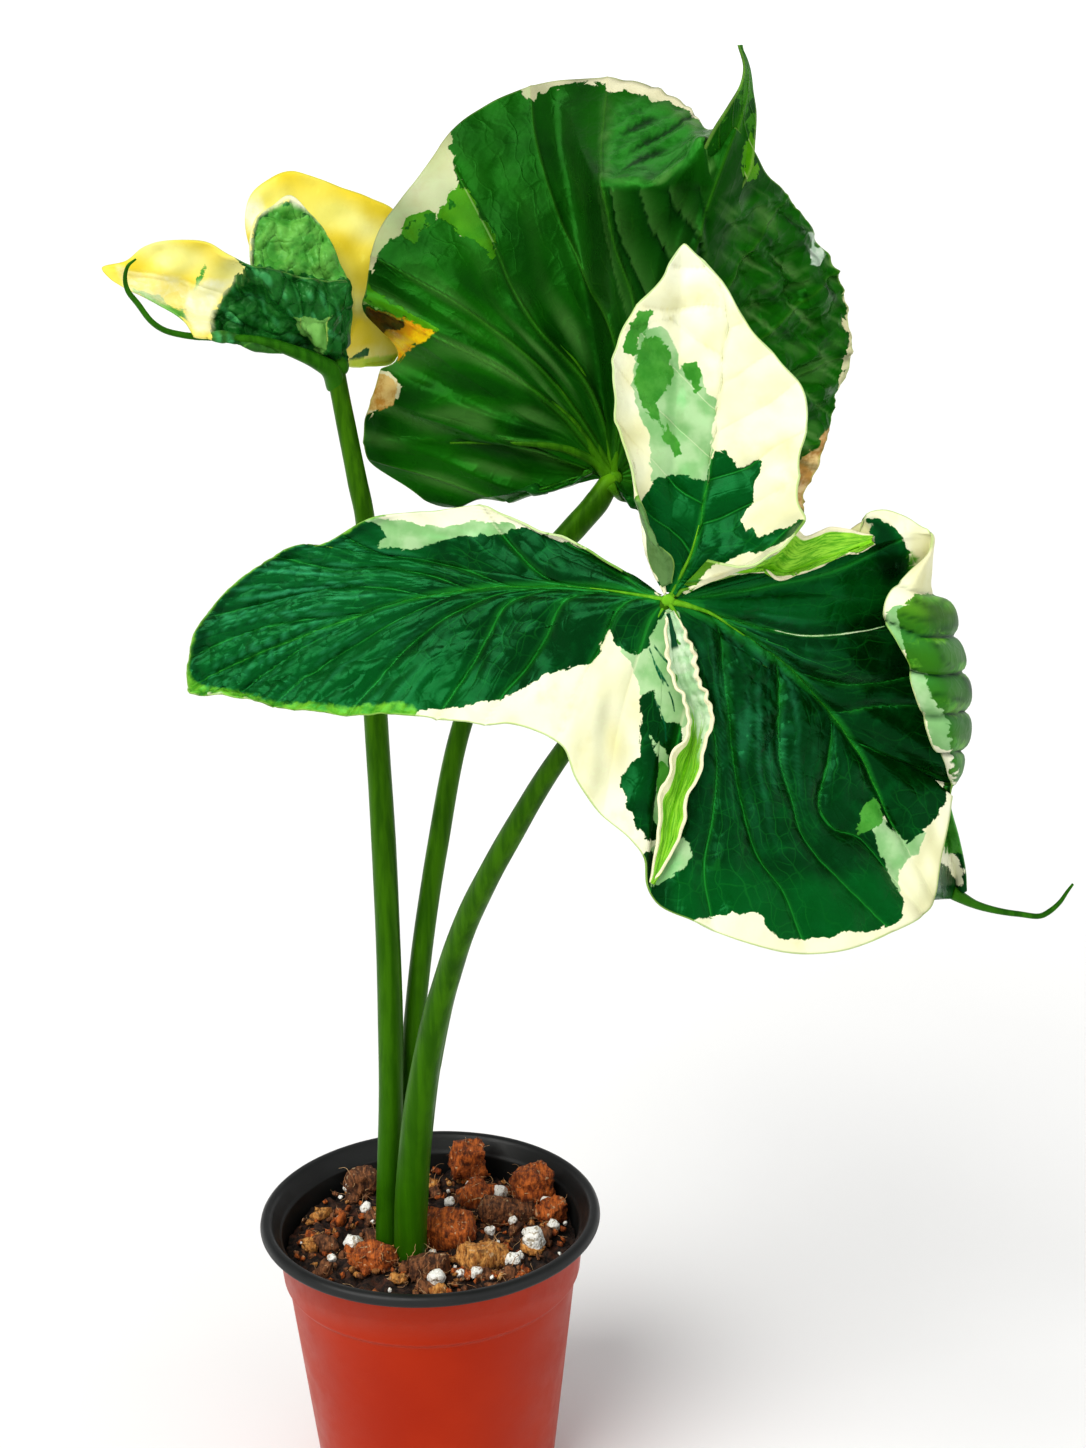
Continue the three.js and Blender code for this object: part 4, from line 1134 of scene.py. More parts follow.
def front_warm(p):
    """Yellower, darker cream on the web, at the lower right, on the curl and along the roll's top: partly the cream's
    own tint, partly painted shade.
    """
    warm = p.web * (0.6 + 0.5 * wavy(p.u, 0.3 * p.v, 26, 83))
    warm = warm + (0.35 + 0.4 * wavy(p.u, 0.3 * p.v, 16, 84)) * p.warm_right * p.warm_low
    return np.clip(warm + p.curl + 0.5 * p.roll_side * p.above_roll * p.under_hood, 0, 1)


def roll_level(u, v, bow):
    """How far down the rolled margin a place lies. Its creases bow across it."""
    return v + bow * (u - ROLL_AXIS) ** 2


def roll_pillows(u, v):
    """The rolled margin's pillows: how proud they stand in millimetres, how near a crease
    is, and how far up its pillow each point lies."""
    level = roll_level(u, v, PILLOW_BOW)
    place = np.interp(level, PILLOW_CREASES, np.arange(len(PILLOW_CREASES)))
    across = 2 * (place % 1) - 1
    swell = 3.0 * (1 - np.abs(across) ** 2.6) ** 0.5 - 1.9
    crease = bell(1 - np.abs(across), 0.10)
    ends = ease(*ROLL_TOP, level) * ease(*ROLL_FOOT, level)
    return swell * ends, crease * ends, np.clip(-across, 0, 1) * ends


# Thin wrinkle lines on the roll's green, where painted shade darkens it.
def roll_wrinkle_shade(u, v, green):
    return bell(wavy(0.4 * u, roll_level(u, v, ROLL_BOW), 30, 93), 0.09) * ease(0, 3, green)


def front_relief(p, station, curled, swell):
    """Millimetres that the blade stands toward its upper face."""
    u, v = p.u, p.v
    branches = [(line, 3.2) for line in BLADE_VEINS[1:8] + LOBE_VEINS[1:-1]]
    main = np.maximum(line_strength([(LOBE_MIDRIB, 4.5), (BLADE_MIDRIB, 5)], u, v),
                      0.7 * line_strength(branches, u, v))
    quilt = 1.0 + 0.9 * p.quilted + p.blade * (2.1 * p.below_heart - 0.8)
    relief = veined_relief(p.number, p.gap, main, 0.9, quilt)
    folds = np.sin(2 * math.pi * (3 * p.number + 0.6 * wavy(u, v, 60, 5)))
    relief += 0.30 * folds * p.folded * ease(0.6, 2, station)
    relief += 0.40 * wavy(u, v, 46, 3) + 0.16 * wavy(u, v, 24, 17)
    relief += 0.7 * p.middle * (blisters(u, v, 17, 19) - 0.5) + 0.35 * p.middle * p.strokes
    relief += 0.35 * p.streaks * p.left + 0.6 * p.far_left * (blisters(u, v, 22, 24) - 0.5)
    relief = mix(relief, -1.15 * swell, curled)
    relief += 0.9 * p.web * wavy(u, 0.35 * v, 30, 85)
    crest_off = np.minimum(off_line(CREST_ONE["keel"], u, v)[0], off_line(CREST_TWO["keel"], u, v)[0])
    return relief * (1 - 0.8 * bell(crest_off, 18)) * ease(0, 0.5, station)


def front_blade(material):
    """The main blade with its left lobe, its hood and its rolled right margin."""
    ribs, first, last = front_ribs()
    grid, rib_at, station = fine_grid(ribs, 500, 94)
    u, v = grid[..., 0], grid[..., 1]
    rolled = (rib_at > first) & (rib_at < last)
    over = rolled & (station > 4.0)
    p = front_places(u, v)
    parts = front_parts(u, v, over)
    swell, crease, crown = roll_pillows(u, v)
    roll_lime = 7 * wavy(0.7 * u, roll_level(u, v, ROLL_BOW), 26, 95) + 4 * p.roll_low - 4
    lobe_lime = np.maximum(inside_any([LOBE_LIME, HOOD_LIME], u, v),
                           np.where(p.rimmed > 0.3, 2.0 - p.edge, OFF))
    # Painted shade on the roll: in its creases and wrinkles and toward its outer edge. The pillows' crowns take a
    # painted sheen.
    roll_shade = 0.9 * crease + 0.35 * p.roll_outer + 0.6 * roll_wrinkle_shade(u, v, parts["green"])
    veinless = over | ((u > HOOD_CORNER[0]) & (v < HOOD_CORNER[1]))
    thick = 0.72 - 0.44 * ease(0, VEIN_REACH, p.reach)
    thick = thick * (0.2 + 0.8 * ease(3, 18, np.abs(p.ribs["rib"])))
    p.ribs["rib"] = np.where(over, NO_RIB, p.ribs["rib"])
    fields = leaf_fields(
        grid, number=np.where(veinless, 0.5, p.number), gap=p.gap, tone=front_tone_and_shading(p),
        soft=mix(front_painted_sheen(p), 0.18 * crown, over), warm=front_warm(p),
        shade=np.where(over, np.clip(roll_shade, 0, 1), np.clip(front_shade(p), 0, 0.9)),
        pucker=np.clip(0.15 + 0.7 * p.far_left + 0.9 * p.middle, 0, 1) * ~over,
        slits=0.8 - np.min([off_line(line, u, v)[0] for line in CREST_SLITS], axis=0),
        lime=np.where(over, np.minimum(roll_lime, parts["green"] - 2), lobe_lime),
        streak=0.9 - off_line(PALE_VEIN[2:], u, v)[0], thick=thick, **parts, **p.ribs)
    relief = front_relief(p, station, rolled * ease(3.4, 4.0, station), swell)
    piece = sheet_object("front_blade", grid, relief, fields)
    finish_piece(piece, material, *FRONT)
    return grid


def front_upper_lobe(material):
    ribs = [rib(FRONT_HEART, margin, 0, fold) for margin, fold in UPPER_ROLLED]
    ribs += [rib(FRONT_HEART, margin, -4) for margin in UPPER_MARGIN]
    grid, rib_at, station = fine_grid(ribs, 260, 84)
    u, v = grid[..., 0], grid[..., 1]
    over = (rib_at < len(UPPER_ROLLED) - 0.4) & (station > 4.0)
    number, gap = feather_veins(UPPER_MIDRIB, u, v, 50, (0.55, 0.55), 0.002)
    number = number + 0.10 * wavy(u, v, 90, 12)
    # Painted shade along the vein creases, laid on the cream as deeper yellow.
    crease_shade = bell(from_vein(number, gap), 0.45) * (0.6 + 0.4 * wavy(u, v, 30, 97))
    relief = veined_relief(number, gap, line_strength([(UPPER_MIDRIB, 4.0)], u, v), 0.8, 1.3)
    relief += 0.40 * wavy(u, v, 40, 8) + 0.16 * wavy(u, v, 20, 9)
    relief *= ease(0, 0.5, station)
    fields = leaf_fields(
        grid, green=np.where(over, 12.0, inside(UPPER_DARK, u, v)),
        pale=np.where(over, OFF, inside_any(UPPER_PALE, u, v)),
        fresh=np.where(over, OFF, inside_any(UPPER_FRESH, u, v)),
        matte=np.where(over, 12.0, OFF), number=number, gap=gap,
        thick=np.full(u.shape, 0.22), tone=np.full(u.shape, 0.6),
        warm=np.clip(0.1 + 0.35 * wavy(u, v, 46, 88) + 0.6 * crease_shade, 0, 1),
        **main_rib([(UPPER_MIDRIB, 1.1)], u, v))
    finish_piece(sheet_object("front_upper_lobe", grid, relief, fields), material, *FRONT)


# The front leaf's crests: two walls that rise from a keel line to a left and a right lip
CREST_ONE = {
    "height": 8, "lift": 1.6, "sink": 1.2, "tangle": 0.7,
    "keel": [
        (668, 614), (672, 640), (673, 662), (684, 695), (692, 728), (688, 758), (679, 790), (671, 820),
        (665, 852), (654, 884),
    ],
    "lips": [
        [
            (666, 613), (665, 626), (665, 646), (668, 662), (671, 676), (677, 687), (685, 699), (688, 713),
            (688, 727), (684, 741), (672, 752), (671, 767), (667, 780), (660, 788), (659, 814),
            (658, 832), (654, 856), (650, 882),
        ],
        [
            (673, 611), (682, 624), (689, 640), (695, 652), (698, 671), (703, 688), (710, 704), (713, 718),
            (709, 734), (704, 750), (702, 769), (695, 782), (688, 795), (686, 818), (681, 836),
            (667, 860), (652, 884),
        ],
    ],
}
CREST_TWO = {
    "height": 5, "lift": 3.0, "sink": -0.6, "tangle": 0.0,
    "keel": [
        (704, 576), (728, 572), (752, 570), (768, 569), (780, 576), (800, 570), (820, 562),
        (846, 552), (872, 541),
    ],
    "lips": [
        [
            (704, 578), (730, 574), (752, 572), (768, 571), (781, 580), (800, 574), (812, 570),
            (824, 565), (839, 557), (852, 552), (862, 552), (874, 543),
        ],
        [
            (704, 572), (728, 566), (750, 562), (776, 552), (797, 530), (806, 536), (820, 531),
            (831, 527), (848, 529), (862, 533), (872, 537),
        ],
    ],
}
SIDES = ("left", "right")
CREST_THICKNESS = 0.9
FRONT_RIB_LINES = [
    ([(667, 600), (650, 597), (620, 592), (590, 588)], 6),
    ([(669, 601), (690, 606), (712, 614), (745, 636)], 8),
    ([(669, 599), (678, 580), (690, 556), (699, 525)], 6),
    ([(669, 599), (684, 588), (700, 578), (724, 571)], 7),
    ([(668, 602), (676, 614), (684, 630), (688, 640)], 5),
    ([(667, 602), (660, 614), (655, 626), (652, 638)], 4),
]
BACK_RIB_LINES = [
    ([(610, 480), (596, 464), (566, 449), (512, 443), (450, 443)], 14),
    ([(611, 478), (600, 462), (570, 420), (539, 395), (499, 368)], 14),
    ([(612, 476), (605, 460), (587, 429), (553, 382), (530, 358)], 11),
    ([(613, 474), (608, 440), (596, 405), (579, 366), (560, 345)], 9),
    ([(614, 474), (619, 440), (624, 400), (628, 360)], 10),
    ([(611, 486), (620, 497), (632, 502), (646, 514)], 10),
]


def near_on(grid, u, v):
    """How far toward the viewer a blade stands at a pixel."""
    flat = grid.reshape(-1, 3)
    return flat[np.argmin(np.hypot(flat[:, 0] - u, flat[:, 1] - v)), 2]


def crest_pieces(name, blade, form, material, seed):
    """A crest's two walls, which rise from one keel line on the blade to their lips."""
    columns, rows = np.linspace(0, 1, 170), np.linspace(0, 1, 18)
    along, height = np.meshgrid(columns, rows, indexing="ij")
    foot = [[u, v, near_on(blade, u, v) + form["lift"]] for u, v in form["keel"]]
    foot = dense_line(foot, len(columns))
    for side, lip in enumerate(form["lips"]):
        lifts = np.sin(math.pi * (np.linspace(0, 1, len(lip)) * 0.96 + 0.01)) ** 0.7
        near = [near_on(blade, u, v) + form["height"] * lift for (u, v), lift in zip(lip, lifts)]
        top = dense_line(np.column_stack([np.array(lip, float), near]), len(columns))
        middle = mix(foot, top, 0.5)
        middle[:, 2] -= form["sink"] * np.sin(math.pi * columns)
        grid = smooth_through(np.stack([foot, middle, top]), 2 * rows).transpose(1, 0, 2)
        u, v = grid[..., 0], grid[..., 1]
        relief = 0.45 * wavy(u, v, 22, seed + side) * height ** 1.2
        relief += 0.30 * np.sin(15 * height + 6 * along) * height * (1 - height) * 3
        relief += form["tangle"] * wavy(u, v, 9, seed + 7) * ease(0.55, 0.3, along) * height
        fields = {"lip": height, "along": along, "side": np.full(u.shape, side)}
        piece = sheet_object(f"{name}_{SIDES[side]}", grid, relief, fields, CREST_THICKNESS)
        finish_piece(piece, material, *FRONT)


def crest_material(name, pale_from, pale_to, slit_to):
    """The flesh of a crest: lime with long streaks, paler near the heart, with cream lips."""
    n = Nodes(name)
    lip, along, side = n.field("lip"), n.field("along"), n.field("side")
    places = n.add("ShaderNodeCombineXYZ", inputs=(along * 5.0, lip * 8.0, side))
    lines = n.noise(2.6, 4, 0.6, places)
    lime = n.blend(n.ramp(lines, 0.36, 0.62), (0.10, 0.36, 0.012), (0.30, 0.62, 0.05))
    lime = n.blend(n.fade(lip, 0.05, 0.22, 0.8), lime, (0.22, 0.60, 0.01))
    pale = n.blend(n.ramp(n.noise(230, 3), 0.4, 0.6), (0.36, 0.56, 0.32), (0.56, 0.70, 0.50))
    pale = n.blend(n.ramp(n.noise(150, 3), 0.62, 0.66), pale, (0.06, 0.26, 0.03))
    heartward = along + (lines - 0.5) * 0.5 - lip * side * 0.16
    body = n.blend(n.ramp(heartward, pale_from, pale_to), pale, lime)
    # A dark slit low on the wall at the heart end, painted as shadow.
    slit = n.fade(lip, 0.28, 0.40) * n.fade(along, slit_to - 0.03, slit_to)
    body = n.blend(slit, body, (0.0, 0.055, 0.022))
    rim = lip + n.noise(260, 2) * 0.08 - (0.88 - (1.0 - side) * 0.14)
    colour = n.blend(n.ramp(rim, 0.02, 0.06), body, (0.78, 0.74, 0.50))
    normal = n.bump(lines + n.noise(500, 2), 0.4 * MM, 0.7)
    return n.set(Base_Color=colour, Roughness=0.40, Normal=normal, Specular_IOR_Level=0.3,
                 Specular_Tint=(0.6, 1.0, 0.5))


FRONT_TIP = [
    ((950, 806, 66), (944, 812, 62), (938, 818)),
    ((956, 830, 61), (946, 834, 57), (934, 840)),
    ((962, 852, 57), (950, 858, 53), (930, 862)),
    ((966, 874, 54), (955, 884, 50), (928, 884)),
    ((967, 890, 52), (955, 898, 50), (926, 900)),
]
TIP_WHITE = [
    (941, 836), (946, 839), (951, 845), (954, 852), (959, 857), (962, 866), (964, 873), (964, 883),
    (959, 887), (954, 880), (946, 867), (938, 862),
]
TIP_FRESH = (870, 830)
FRONT_TAIL = [
    (951, 892, 51), (962, 898, 50.5), (974, 904, 50), (988, 908.5, 49), (1004, 912, 48),
    (1019, 914, 47), (1040, 916, 46), (1050, 911, 45), (1060, 902, 44), (1067, 892, 43),
    (1073, 884, 42),
]
FRONT_TAIL_WIDTHS = (14, 12, 9, 7.5, 6.5, 6, 5.5, 5.5, 4.5, 3.5, 2.5)


def front_tip(blade, material):
    """The blade's tip, which turns back on itself below the roll."""
    ribs = []
    for outer, hollow, (u, v) in FRONT_TIP:
        inner = (u, v, near_on(blade, u, v))
        ribs.append([outer, mix(outer, hollow, 0.6), hollow, mix(hollow, inner, 0.5), inner])
    grid = sheet_through(ribs, 60, 30)
    u, v = grid[..., 0], grid[..., 1]
    fields = leaf_fields(grid, green=-inside(TIP_WHITE, u, v), fresh=12 * ease(*TIP_FRESH, v) - 6)
    piece = sheet_object("front_tip", grid, 0.3 * wavy(u, v, 24, 90), fields)
    finish_piece(piece, material, *FRONT)


def sheet_through(ribs, columns, rows):
    """A smooth grid through a few ribs."""
    ribs = np.array(ribs, float)
    along = smooth_through(ribs.transpose(1, 0, 2), np.linspace(0, ribs.shape[1] - 1, rows))
    return smooth_through(along.transpose(1, 0, 2), np.linspace(0, len(ribs) - 1, columns))


def thread(name, places, widths, material, slot, node, sides=10):
    """A thin tail or keel whose widths are given at even shares of its length."""
    centres = dense_line(at(places), 70)
    radii = np.interp(np.linspace(0, len(widths) - 1, len(centres)), np.arange(len(widths)),
                      [half_width(place, width) for place, width in zip(places, widths)])
    finish_piece(tube_object(name, centres, radii, sides), material, slot, node)


def stem_material(name, shades, top=None):
    """A stalk, tail or leaf foot: long soft streaks, lighter at its foot, and at its top where
    that has a shade of its own."""
    n = Nodes(name)
    along = n.field("along")
    streaks = n.noise(60, 3, 0.55, n.stretched((6, 6, 0.35)))
    base = n.blend(n.ramp(streaks, 0.35, 0.65), shades[0], shades[1])
    base = n.blend(n.fade(along, 0.0, 0.45, 0.75), base, shades[2])
    base = n.blend(n.ramp(n.noise(70, 3), 0.5, 0.75, 0.0, 0.4), base, shades[3])
    if top is not None:
        base = n.blend(n.ramp(along, 0.84, 0.97), base, top)
    fine = n.noise(300, 3, 0.5, n.stretched((8, 8, 0.5)))
    normal = n.bump(fine + n.noise(700, 2), 0.12 * MM, 0.6)
    rough = n.ramp(n.noise(90, 3), 0.3, 0.7, 0.32, 0.46)
    return n.set(Base_Color=base, Roughness=rough, Normal=normal, Specular_IOR_Level=0.24,
                 Specular_Tint=(0.5, 1.0, 0.2))


# The back leaf, seen from its ridged underside
BACK_HEART = (614, 478, -20)
BASAL_HEART = (592, 467, -20)
BACK_LEFT_MARGIN = [
    (595, 473, -21), (573, 486, -24), (546, 494, -26), (518, 504, -28), (483, 504, -31),
    (444, 509, -34), (404, 489, -36), (368, 462, -38), (361, 424, -38), (369, 395, -38),
    (377, 366, -37), (394, 357, -37), (379, 330, -38), (363, 305, -39), (367, 274, -41),
    (379, 231, -45), (397, 203, -48), (426, 167, -54), (454, 128, -58), (483, 106, -61),
    (519, 90, -63), (554, 81, -65),
]
BACK_FOLDED = [
    ((597, 78, -66), (603, 181, -16)),
    ((644, 81, -66), (637, 180, -13)),
    ((669, 92, -64), (662, 176, -11)),
    ((690, 106, -58), (680, 160, -9)),
    ((708, 126, -40), (705, 136, -8)),
]
BACK_RIGHT_MARGIN = [
    (728, 124, -9), (746, 136, -10), (757, 152, -14), (768, 174, -20), (786, 192, -27),
    (808, 221, -35), (829, 253, -41), (842, 278, -44), (852, 312, -46), (852, 335, -46),
    (847, 362, -46), (840, 392, -44), (834, 420, -42), (822, 450, -39), (812, 480, -36),
    (806, 510, -33), (790, 538, -31), (750, 556, -29), (700, 558, -27), (664, 542, -24),
    (640, 512, -22), (622, 498, -21),
]
BACK_TAIL = [
    ((686, 190, -10), (706, 206, -14), (738, 196, -14)),
    ((698, 160, -7), (721, 172, -11), (752, 168, -13)),
    ((713, 130, -5), (733, 140, -9), (755, 140, -13)),
    ((729, 105, -3), (742, 112, -7), (756, 112, -11)),
    ((741, 84, -2), (747, 90, -5), (753, 92, -8)),
    ((744, 66, -1), (747, 68, -3), (750, 70, -5)),
    ((738.5, 45, 1), (740.5, 45, 0), (742.5, 46, 0)),
]
BACK_CREAM = [
    [
        (350, 292), (374, 267), (380, 253), (394, 236), (406, 233), (411, 218), (428, 214), (441, 218),
        (443, 211), (453, 206), (451, 196), (463, 189), (458, 172), (451, 148), (452, 132), (440, 110),
        (370, 170), (340, 240),
    ],
    [
        (534, 103), (539, 93), (560, 87), (566, 84), (587, 82), (603, 86), (607, 97), (627, 89),
        (641, 91), (651, 99), (668, 99), (681, 106), (698, 118), (716, 128), (722, 112), (690, 80),
        (640, 60), (560, 60), (520, 88),
    ],
    [
        (840, 268), (844, 287), (849, 311), (848, 334), (843, 358), (838, 388), (860, 395), (875, 330),
        (862, 275),
    ],
    [(366, 368), (384, 371), (400, 385), (396, 400), (372, 408), (358, 425), (350, 395)],
]
BACK_LIME = [
    [(406, 233), (408, 219), (429, 214), (431, 223), (419, 229), (418, 243), (408, 240)],
    [
        (441, 218), (443, 211), (453, 206), (451, 196), (465, 189), (475, 199), (480, 219), (492, 230),
        (495, 246), (495, 260), (478, 243), (458, 230), (448, 223),
    ],
    [(745, 178), (742, 160), (750, 130), (757, 150), (760, 176), (752, 184)],
    [(363, 300), (366, 280), (372, 290), (400, 306), (436, 328), (430, 333), (400, 318)],
]
# Pleats that hang from the rolled lip down to the midrib
BACK_PLEATS = [
    [(596, 186), (604, 240), (622, 300), (640, 360)],
    [(609, 186), (616, 222), (630, 259), (652, 310)],
    [(638, 186), (650, 225), (673, 262), (686, 290)],
    [(662, 180), (680, 213), (699, 236), (704, 250)],
    [(688, 160), (700, 190), (706, 210), (709, 220)],
]
BACK_LIP_RIBS = [
    [(607, 181), (613, 160), (620, 136), (632, 115), (647, 99)],
    [(700, 142), (690, 128), (678, 114), (662, 103)],
    [(612, 182), (640, 160), (664, 142), (692, 126)],
    [(632, 180), (652, 168), (676, 152), (698, 140)],
    [(660, 178), (676, 160), (690, 150), (704, 138)],
    [(618, 152), (636, 146), (650, 132), (664, 120)],
]
# Patches on the underside: burnt, scorched, seared, tan and grey stains, and on the folded lip a painted lit patch.
BACK_SPOTS = {
    "lit": [
        (607, 183), (605, 160), (609, 130), (616, 102), (640, 97), (664, 106), (688, 124), (706, 140),
        (692, 160), (662, 178), (634, 184),
    ],
    "burnt": [
        (363, 304), (384, 312), (404, 320), (435, 332), (414, 344), (396, 359), (386, 344), (376, 321),
    ],
    "scorch": [(363, 304), (384, 312), (406, 322), (400, 330), (386, 330), (380, 336), (374, 326)],
    "seared": [(366, 372), (378, 374), (392, 380), (394, 392), (390, 404), (376, 410), (364, 412)],
    "tan": [
        (842, 415), (834, 442), (818, 480), (806, 512), (796, 500), (803, 463), (810, 452), (827, 430),
    ],
    "grey": [(808, 233), (818, 231), (820, 246), (827, 250), (820, 267), (808, 263), (815, 246)],
}
BACK_VEINS = [[BACK_HEART[:2], *line] for line in (
    [(600, 476), (570, 480), (520, 498), (480, 520)],
    [(593, 463), (566, 449), (512, 442), (418, 442), (360, 444)],
    [(600, 462), (566, 419), (539, 395), (499, 368), (438, 338), (380, 310)],
    [(605, 460), (587, 429), (553, 382), (512, 344), (451, 300), (391, 267), (360, 250)],
    [(608, 440), (587, 385), (539, 331), (512, 287), (495, 246), (478, 213), (450, 160)],
    [(618, 420), (617, 351), (593, 290), (560, 219), (536, 142), (530, 80)],
    [(626, 400), (634, 311), (612, 240), (601, 172), (607, 80)],
    [(640, 380), (668, 310), (695, 253), (708, 206), (722, 165), (749, 98)],
    [(662, 400), (705, 320), (742, 262), (768, 225), (790, 195)],
    [(680, 420), (740, 360), (790, 312), (840, 270)],
    [(690, 445), (760, 405), (810, 372), (860, 345)],
    [(690, 470), (760, 455), (830, 440)],
    [(680, 500), (740, 520), (790, 545)],
)]
BACK_BANDS = {
    "left": ("u", 620, 560), "right": ("u", 700, 770), "upper": ("v", 340, 250), "low": ("v", 250, 330),
    "below_tip": ("v", 170, 215), "pleats_left": ("u", 592, 606), "pleats_right": ("u", 715, 705),
    "pleats_top": ("v", 183, 192), "pleats_foot": ("v", 350, 300), "lip_left": ("u", 596, 612),
    "lip_right": ("u", 720, 700), "lip_foot": ("v", 184, 178), "lip_lit": ("v", 90, 130),
    "lip_dark": ("v", 102, 114), "below_lip": ("v", 180, 190),
}
BACK_LOOK = {
    "green": ((0.003, 0.045, 0.004), (0.007, 0.085, 0.008), (0.012, 0.11, 0.014)),
    "under": ((0.0022, 0.038, 0.0003), (0.006, 0.084, 0.0009)),
    # soft is the colour of the painted sheen
    "vein": (0.03, 0.16, 0.02), "vein_under": (0.026, 0.12, 0.005), "soft": (0.088, 0.205, 0.052),
    "pale": ((0.05, 0.20, 0.002), (0.09, 0.27, 0.003)),
    "fresh": ((0.02, 0.13, 0.004), (0.04, 0.17, 0.008)),
    "cream": ((0.60, 0.56, 0.34), (0.66, 0.63, 0.44), (0.55, 0.47, 0.24)),
    "rib": (0.05, 0.20, 0.01), "rib_under": (0.045, 0.17, 0.006), "rib_cream": (0.66, 0.62, 0.34),
    "rough": (0.24, 0.40), "matte": 0.02, "block": 6.0, "bead": 150, "pucker": 5.0,
    "edge_share": 0.3, "gloss": 0.32, "net_share": 0.06, "tint": (0.14, 1.0, 0.12),
    "spots": {
        "burnt": ((0.66, 0.44, 0.006), (0.58, 0.24, 0.006)),
        "scorch": ((0.13, 0.035, 0.005), (0.05, 0.012, 0.004)),
        "seared": ((0.42, 0.19, 0.03), (0.60, 0.42, 0.16)),
        "tan": ((0.70, 0.50, 0.26), (0.44, 0.22, 0.07)),
        "grey": ((0.62, 0.70, 0.60), (0.42, 0.55, 0.42)),
        # the painted lit patch on the folded lip
        "lit": ((0.010, 0.115, 0.007), (0.028, 0.190, 0.022), 0.6, 9.0),
    },
}


def back_ribs():
    ribs = [rib(mix(BASAL_HEART, BACK_HEART, ease(2, 7, k)), margin, 5 if k < 9 else 9)
            for k, margin in enumerate(BACK_LEFT_MARGIN)]
    for margin, fold in BACK_FOLDED:
        start, first, second = rib(BACK_HEART, fold, 3)[:3]
        behind = mix(fold, margin, 0.12)
        behind[2] = fold[2] - 12
        ribs.append([start, first, second, mix(second, fold, 0.5), fold, behind, margin])
    return ribs + [rib(BACK_HEART, margin, 8) for margin in BACK_RIGHT_MARGIN]


def back_places(u, v, station):
    """Where the blade's veins, zones, streaks and pleats lie."""
    p = bands(BACK_BANDS, u, v)
    p.number, p.gap = numbered_between(BACK_VEINS, u, v)
    p.reach = np.hypot(u - BACK_HEART[0], v - BACK_HEART[1])
    p.puckered = p.right * p.below_tip
    p.low_left = p.low * p.left
    p.upper_left = p.upper * p.left
    p.streaks = wavy(34 * p.number, 0.16 * p.reach, 17, 66)
    p.domes = blisters(0.7 * u + 0.45 * v, v, 25, 5)
    p.ticks = wavy(0.2 * (0.8 * u + 0.6 * v), 0.6 * u - 0.8 * v, 13, 69)
    hung, _ = numbered_between(BACK_PLEATS, u, v)
    p.slope = np.where((hung > 0) & (hung < len(BACK_PLEATS) - 1), hung % 1, 0.5)
    p.below = p.pleats_left * p.pleats_right * p.pleats_top * p.pleats_foot * (station < 4.3)
    p.lip = p.lip_left * p.lip_right * p.lip_foot * (station > 3.9)
    p.lip_ribs = line_strength([(line, 4.5) for line in BACK_LIP_RIBS], u, v)
    p.gleam = wavy(0.16 * (0.86 * u - 0.51 * v), 0.51 * u + 0.86 * v, 11, 62)
    p.off_heart = ease(0.5, 1.5, station)
    return p


def back_relief(p, rib_at, station, last):
    """Millimetres that the blade stands toward the viewer, whom its underside faces."""
    u, v = p.u, p.v
    main = line_strength([(line, 3.6) for line in BACK_VEINS[1:-1]], u, v)
    main = np.maximum(main, line_strength([(BACK_VEINS[7], 4.4)], u, v))
    pleats = np.abs(np.sin(math.pi * (1.5 * p.number + 0.25 * wavy(u, v, 120, 67)))) ** 0.8
    outward = ease(1, 3, station)
    relief = -veined_relief(p.number, p.gap, 0.8 * main, 0.8, 1.2) * (1 - 0.5 * p.upper_left)
    relief -= (1.5 * pleats + 0.5 * p.streaks) * p.low_left * np.clip(p.gap / 50, 0, 1)
    relief += p.puckered * (2.2 * wavy(u, v, 44, 21) - 2.0 * (p.domes - 0.5)) * outward
    relief += 0.5 * wavy(u, v, 70, 14) + 0.2 * wavy(u, v, 30, 15) - 1.6 * p.below * p.slope
    relief += p.lip * (0.9 * p.lip_ribs + 0.6 * p.gleam) - 0.5 * p.puckered * p.ticks * outward
    return relief * ease(0, 0.6, station) * ease(0, 1.6, rib_at) * ease(0, 1.6, last - rib_at)


def back_painted_sheen(p):
    """Painted sheen: painted highlights on streaks, domes, the folded lip's ribs and the pleats' near sides."""
    soft = (0.48 * p.low_left + 0.10 * p.upper_left) * ease(-0.1, 0.9, p.streaks) * p.off_heart
    soft += p.puckered * (0.35 * ease(0.7, 1.0, p.domes) + 0.9 * ease(0.3, 1.0, p.ticks))
    soft += p.lip * p.lip_lit * (0.3 + 0.7 * p.lip_ribs + 1.1 * ease(0.0, 0.9, p.gleam))
    return np.clip(soft + 0.35 * p.below * (1 - p.slope) ** 3, 0, 1)


def back_shade(p):
    """Shade between pleats, streaks and domes, and over the upper left."""
    shade = 0.8 * p.below * p.slope ** 3
    shade += 0.85 * p.lip * p.lip_dark * ease(0.3, 0.9, -p.gleam)
    shade += 0.5 * ease(0.15, 0.9, -p.streaks) * p.low_left * p.off_heart
    shade += 0.52 * p.upper_left * (0.8 + 0.4 * wavy(30 * p.number, 0.12 * p.reach, 17, 70))
    shade += p.puckered * (0.3 * ease(0.4, 0.1, p.domes) + 0.5 * ease(0.3, 0.9, -p.ticks))
    return np.clip(shade, 0, 1)


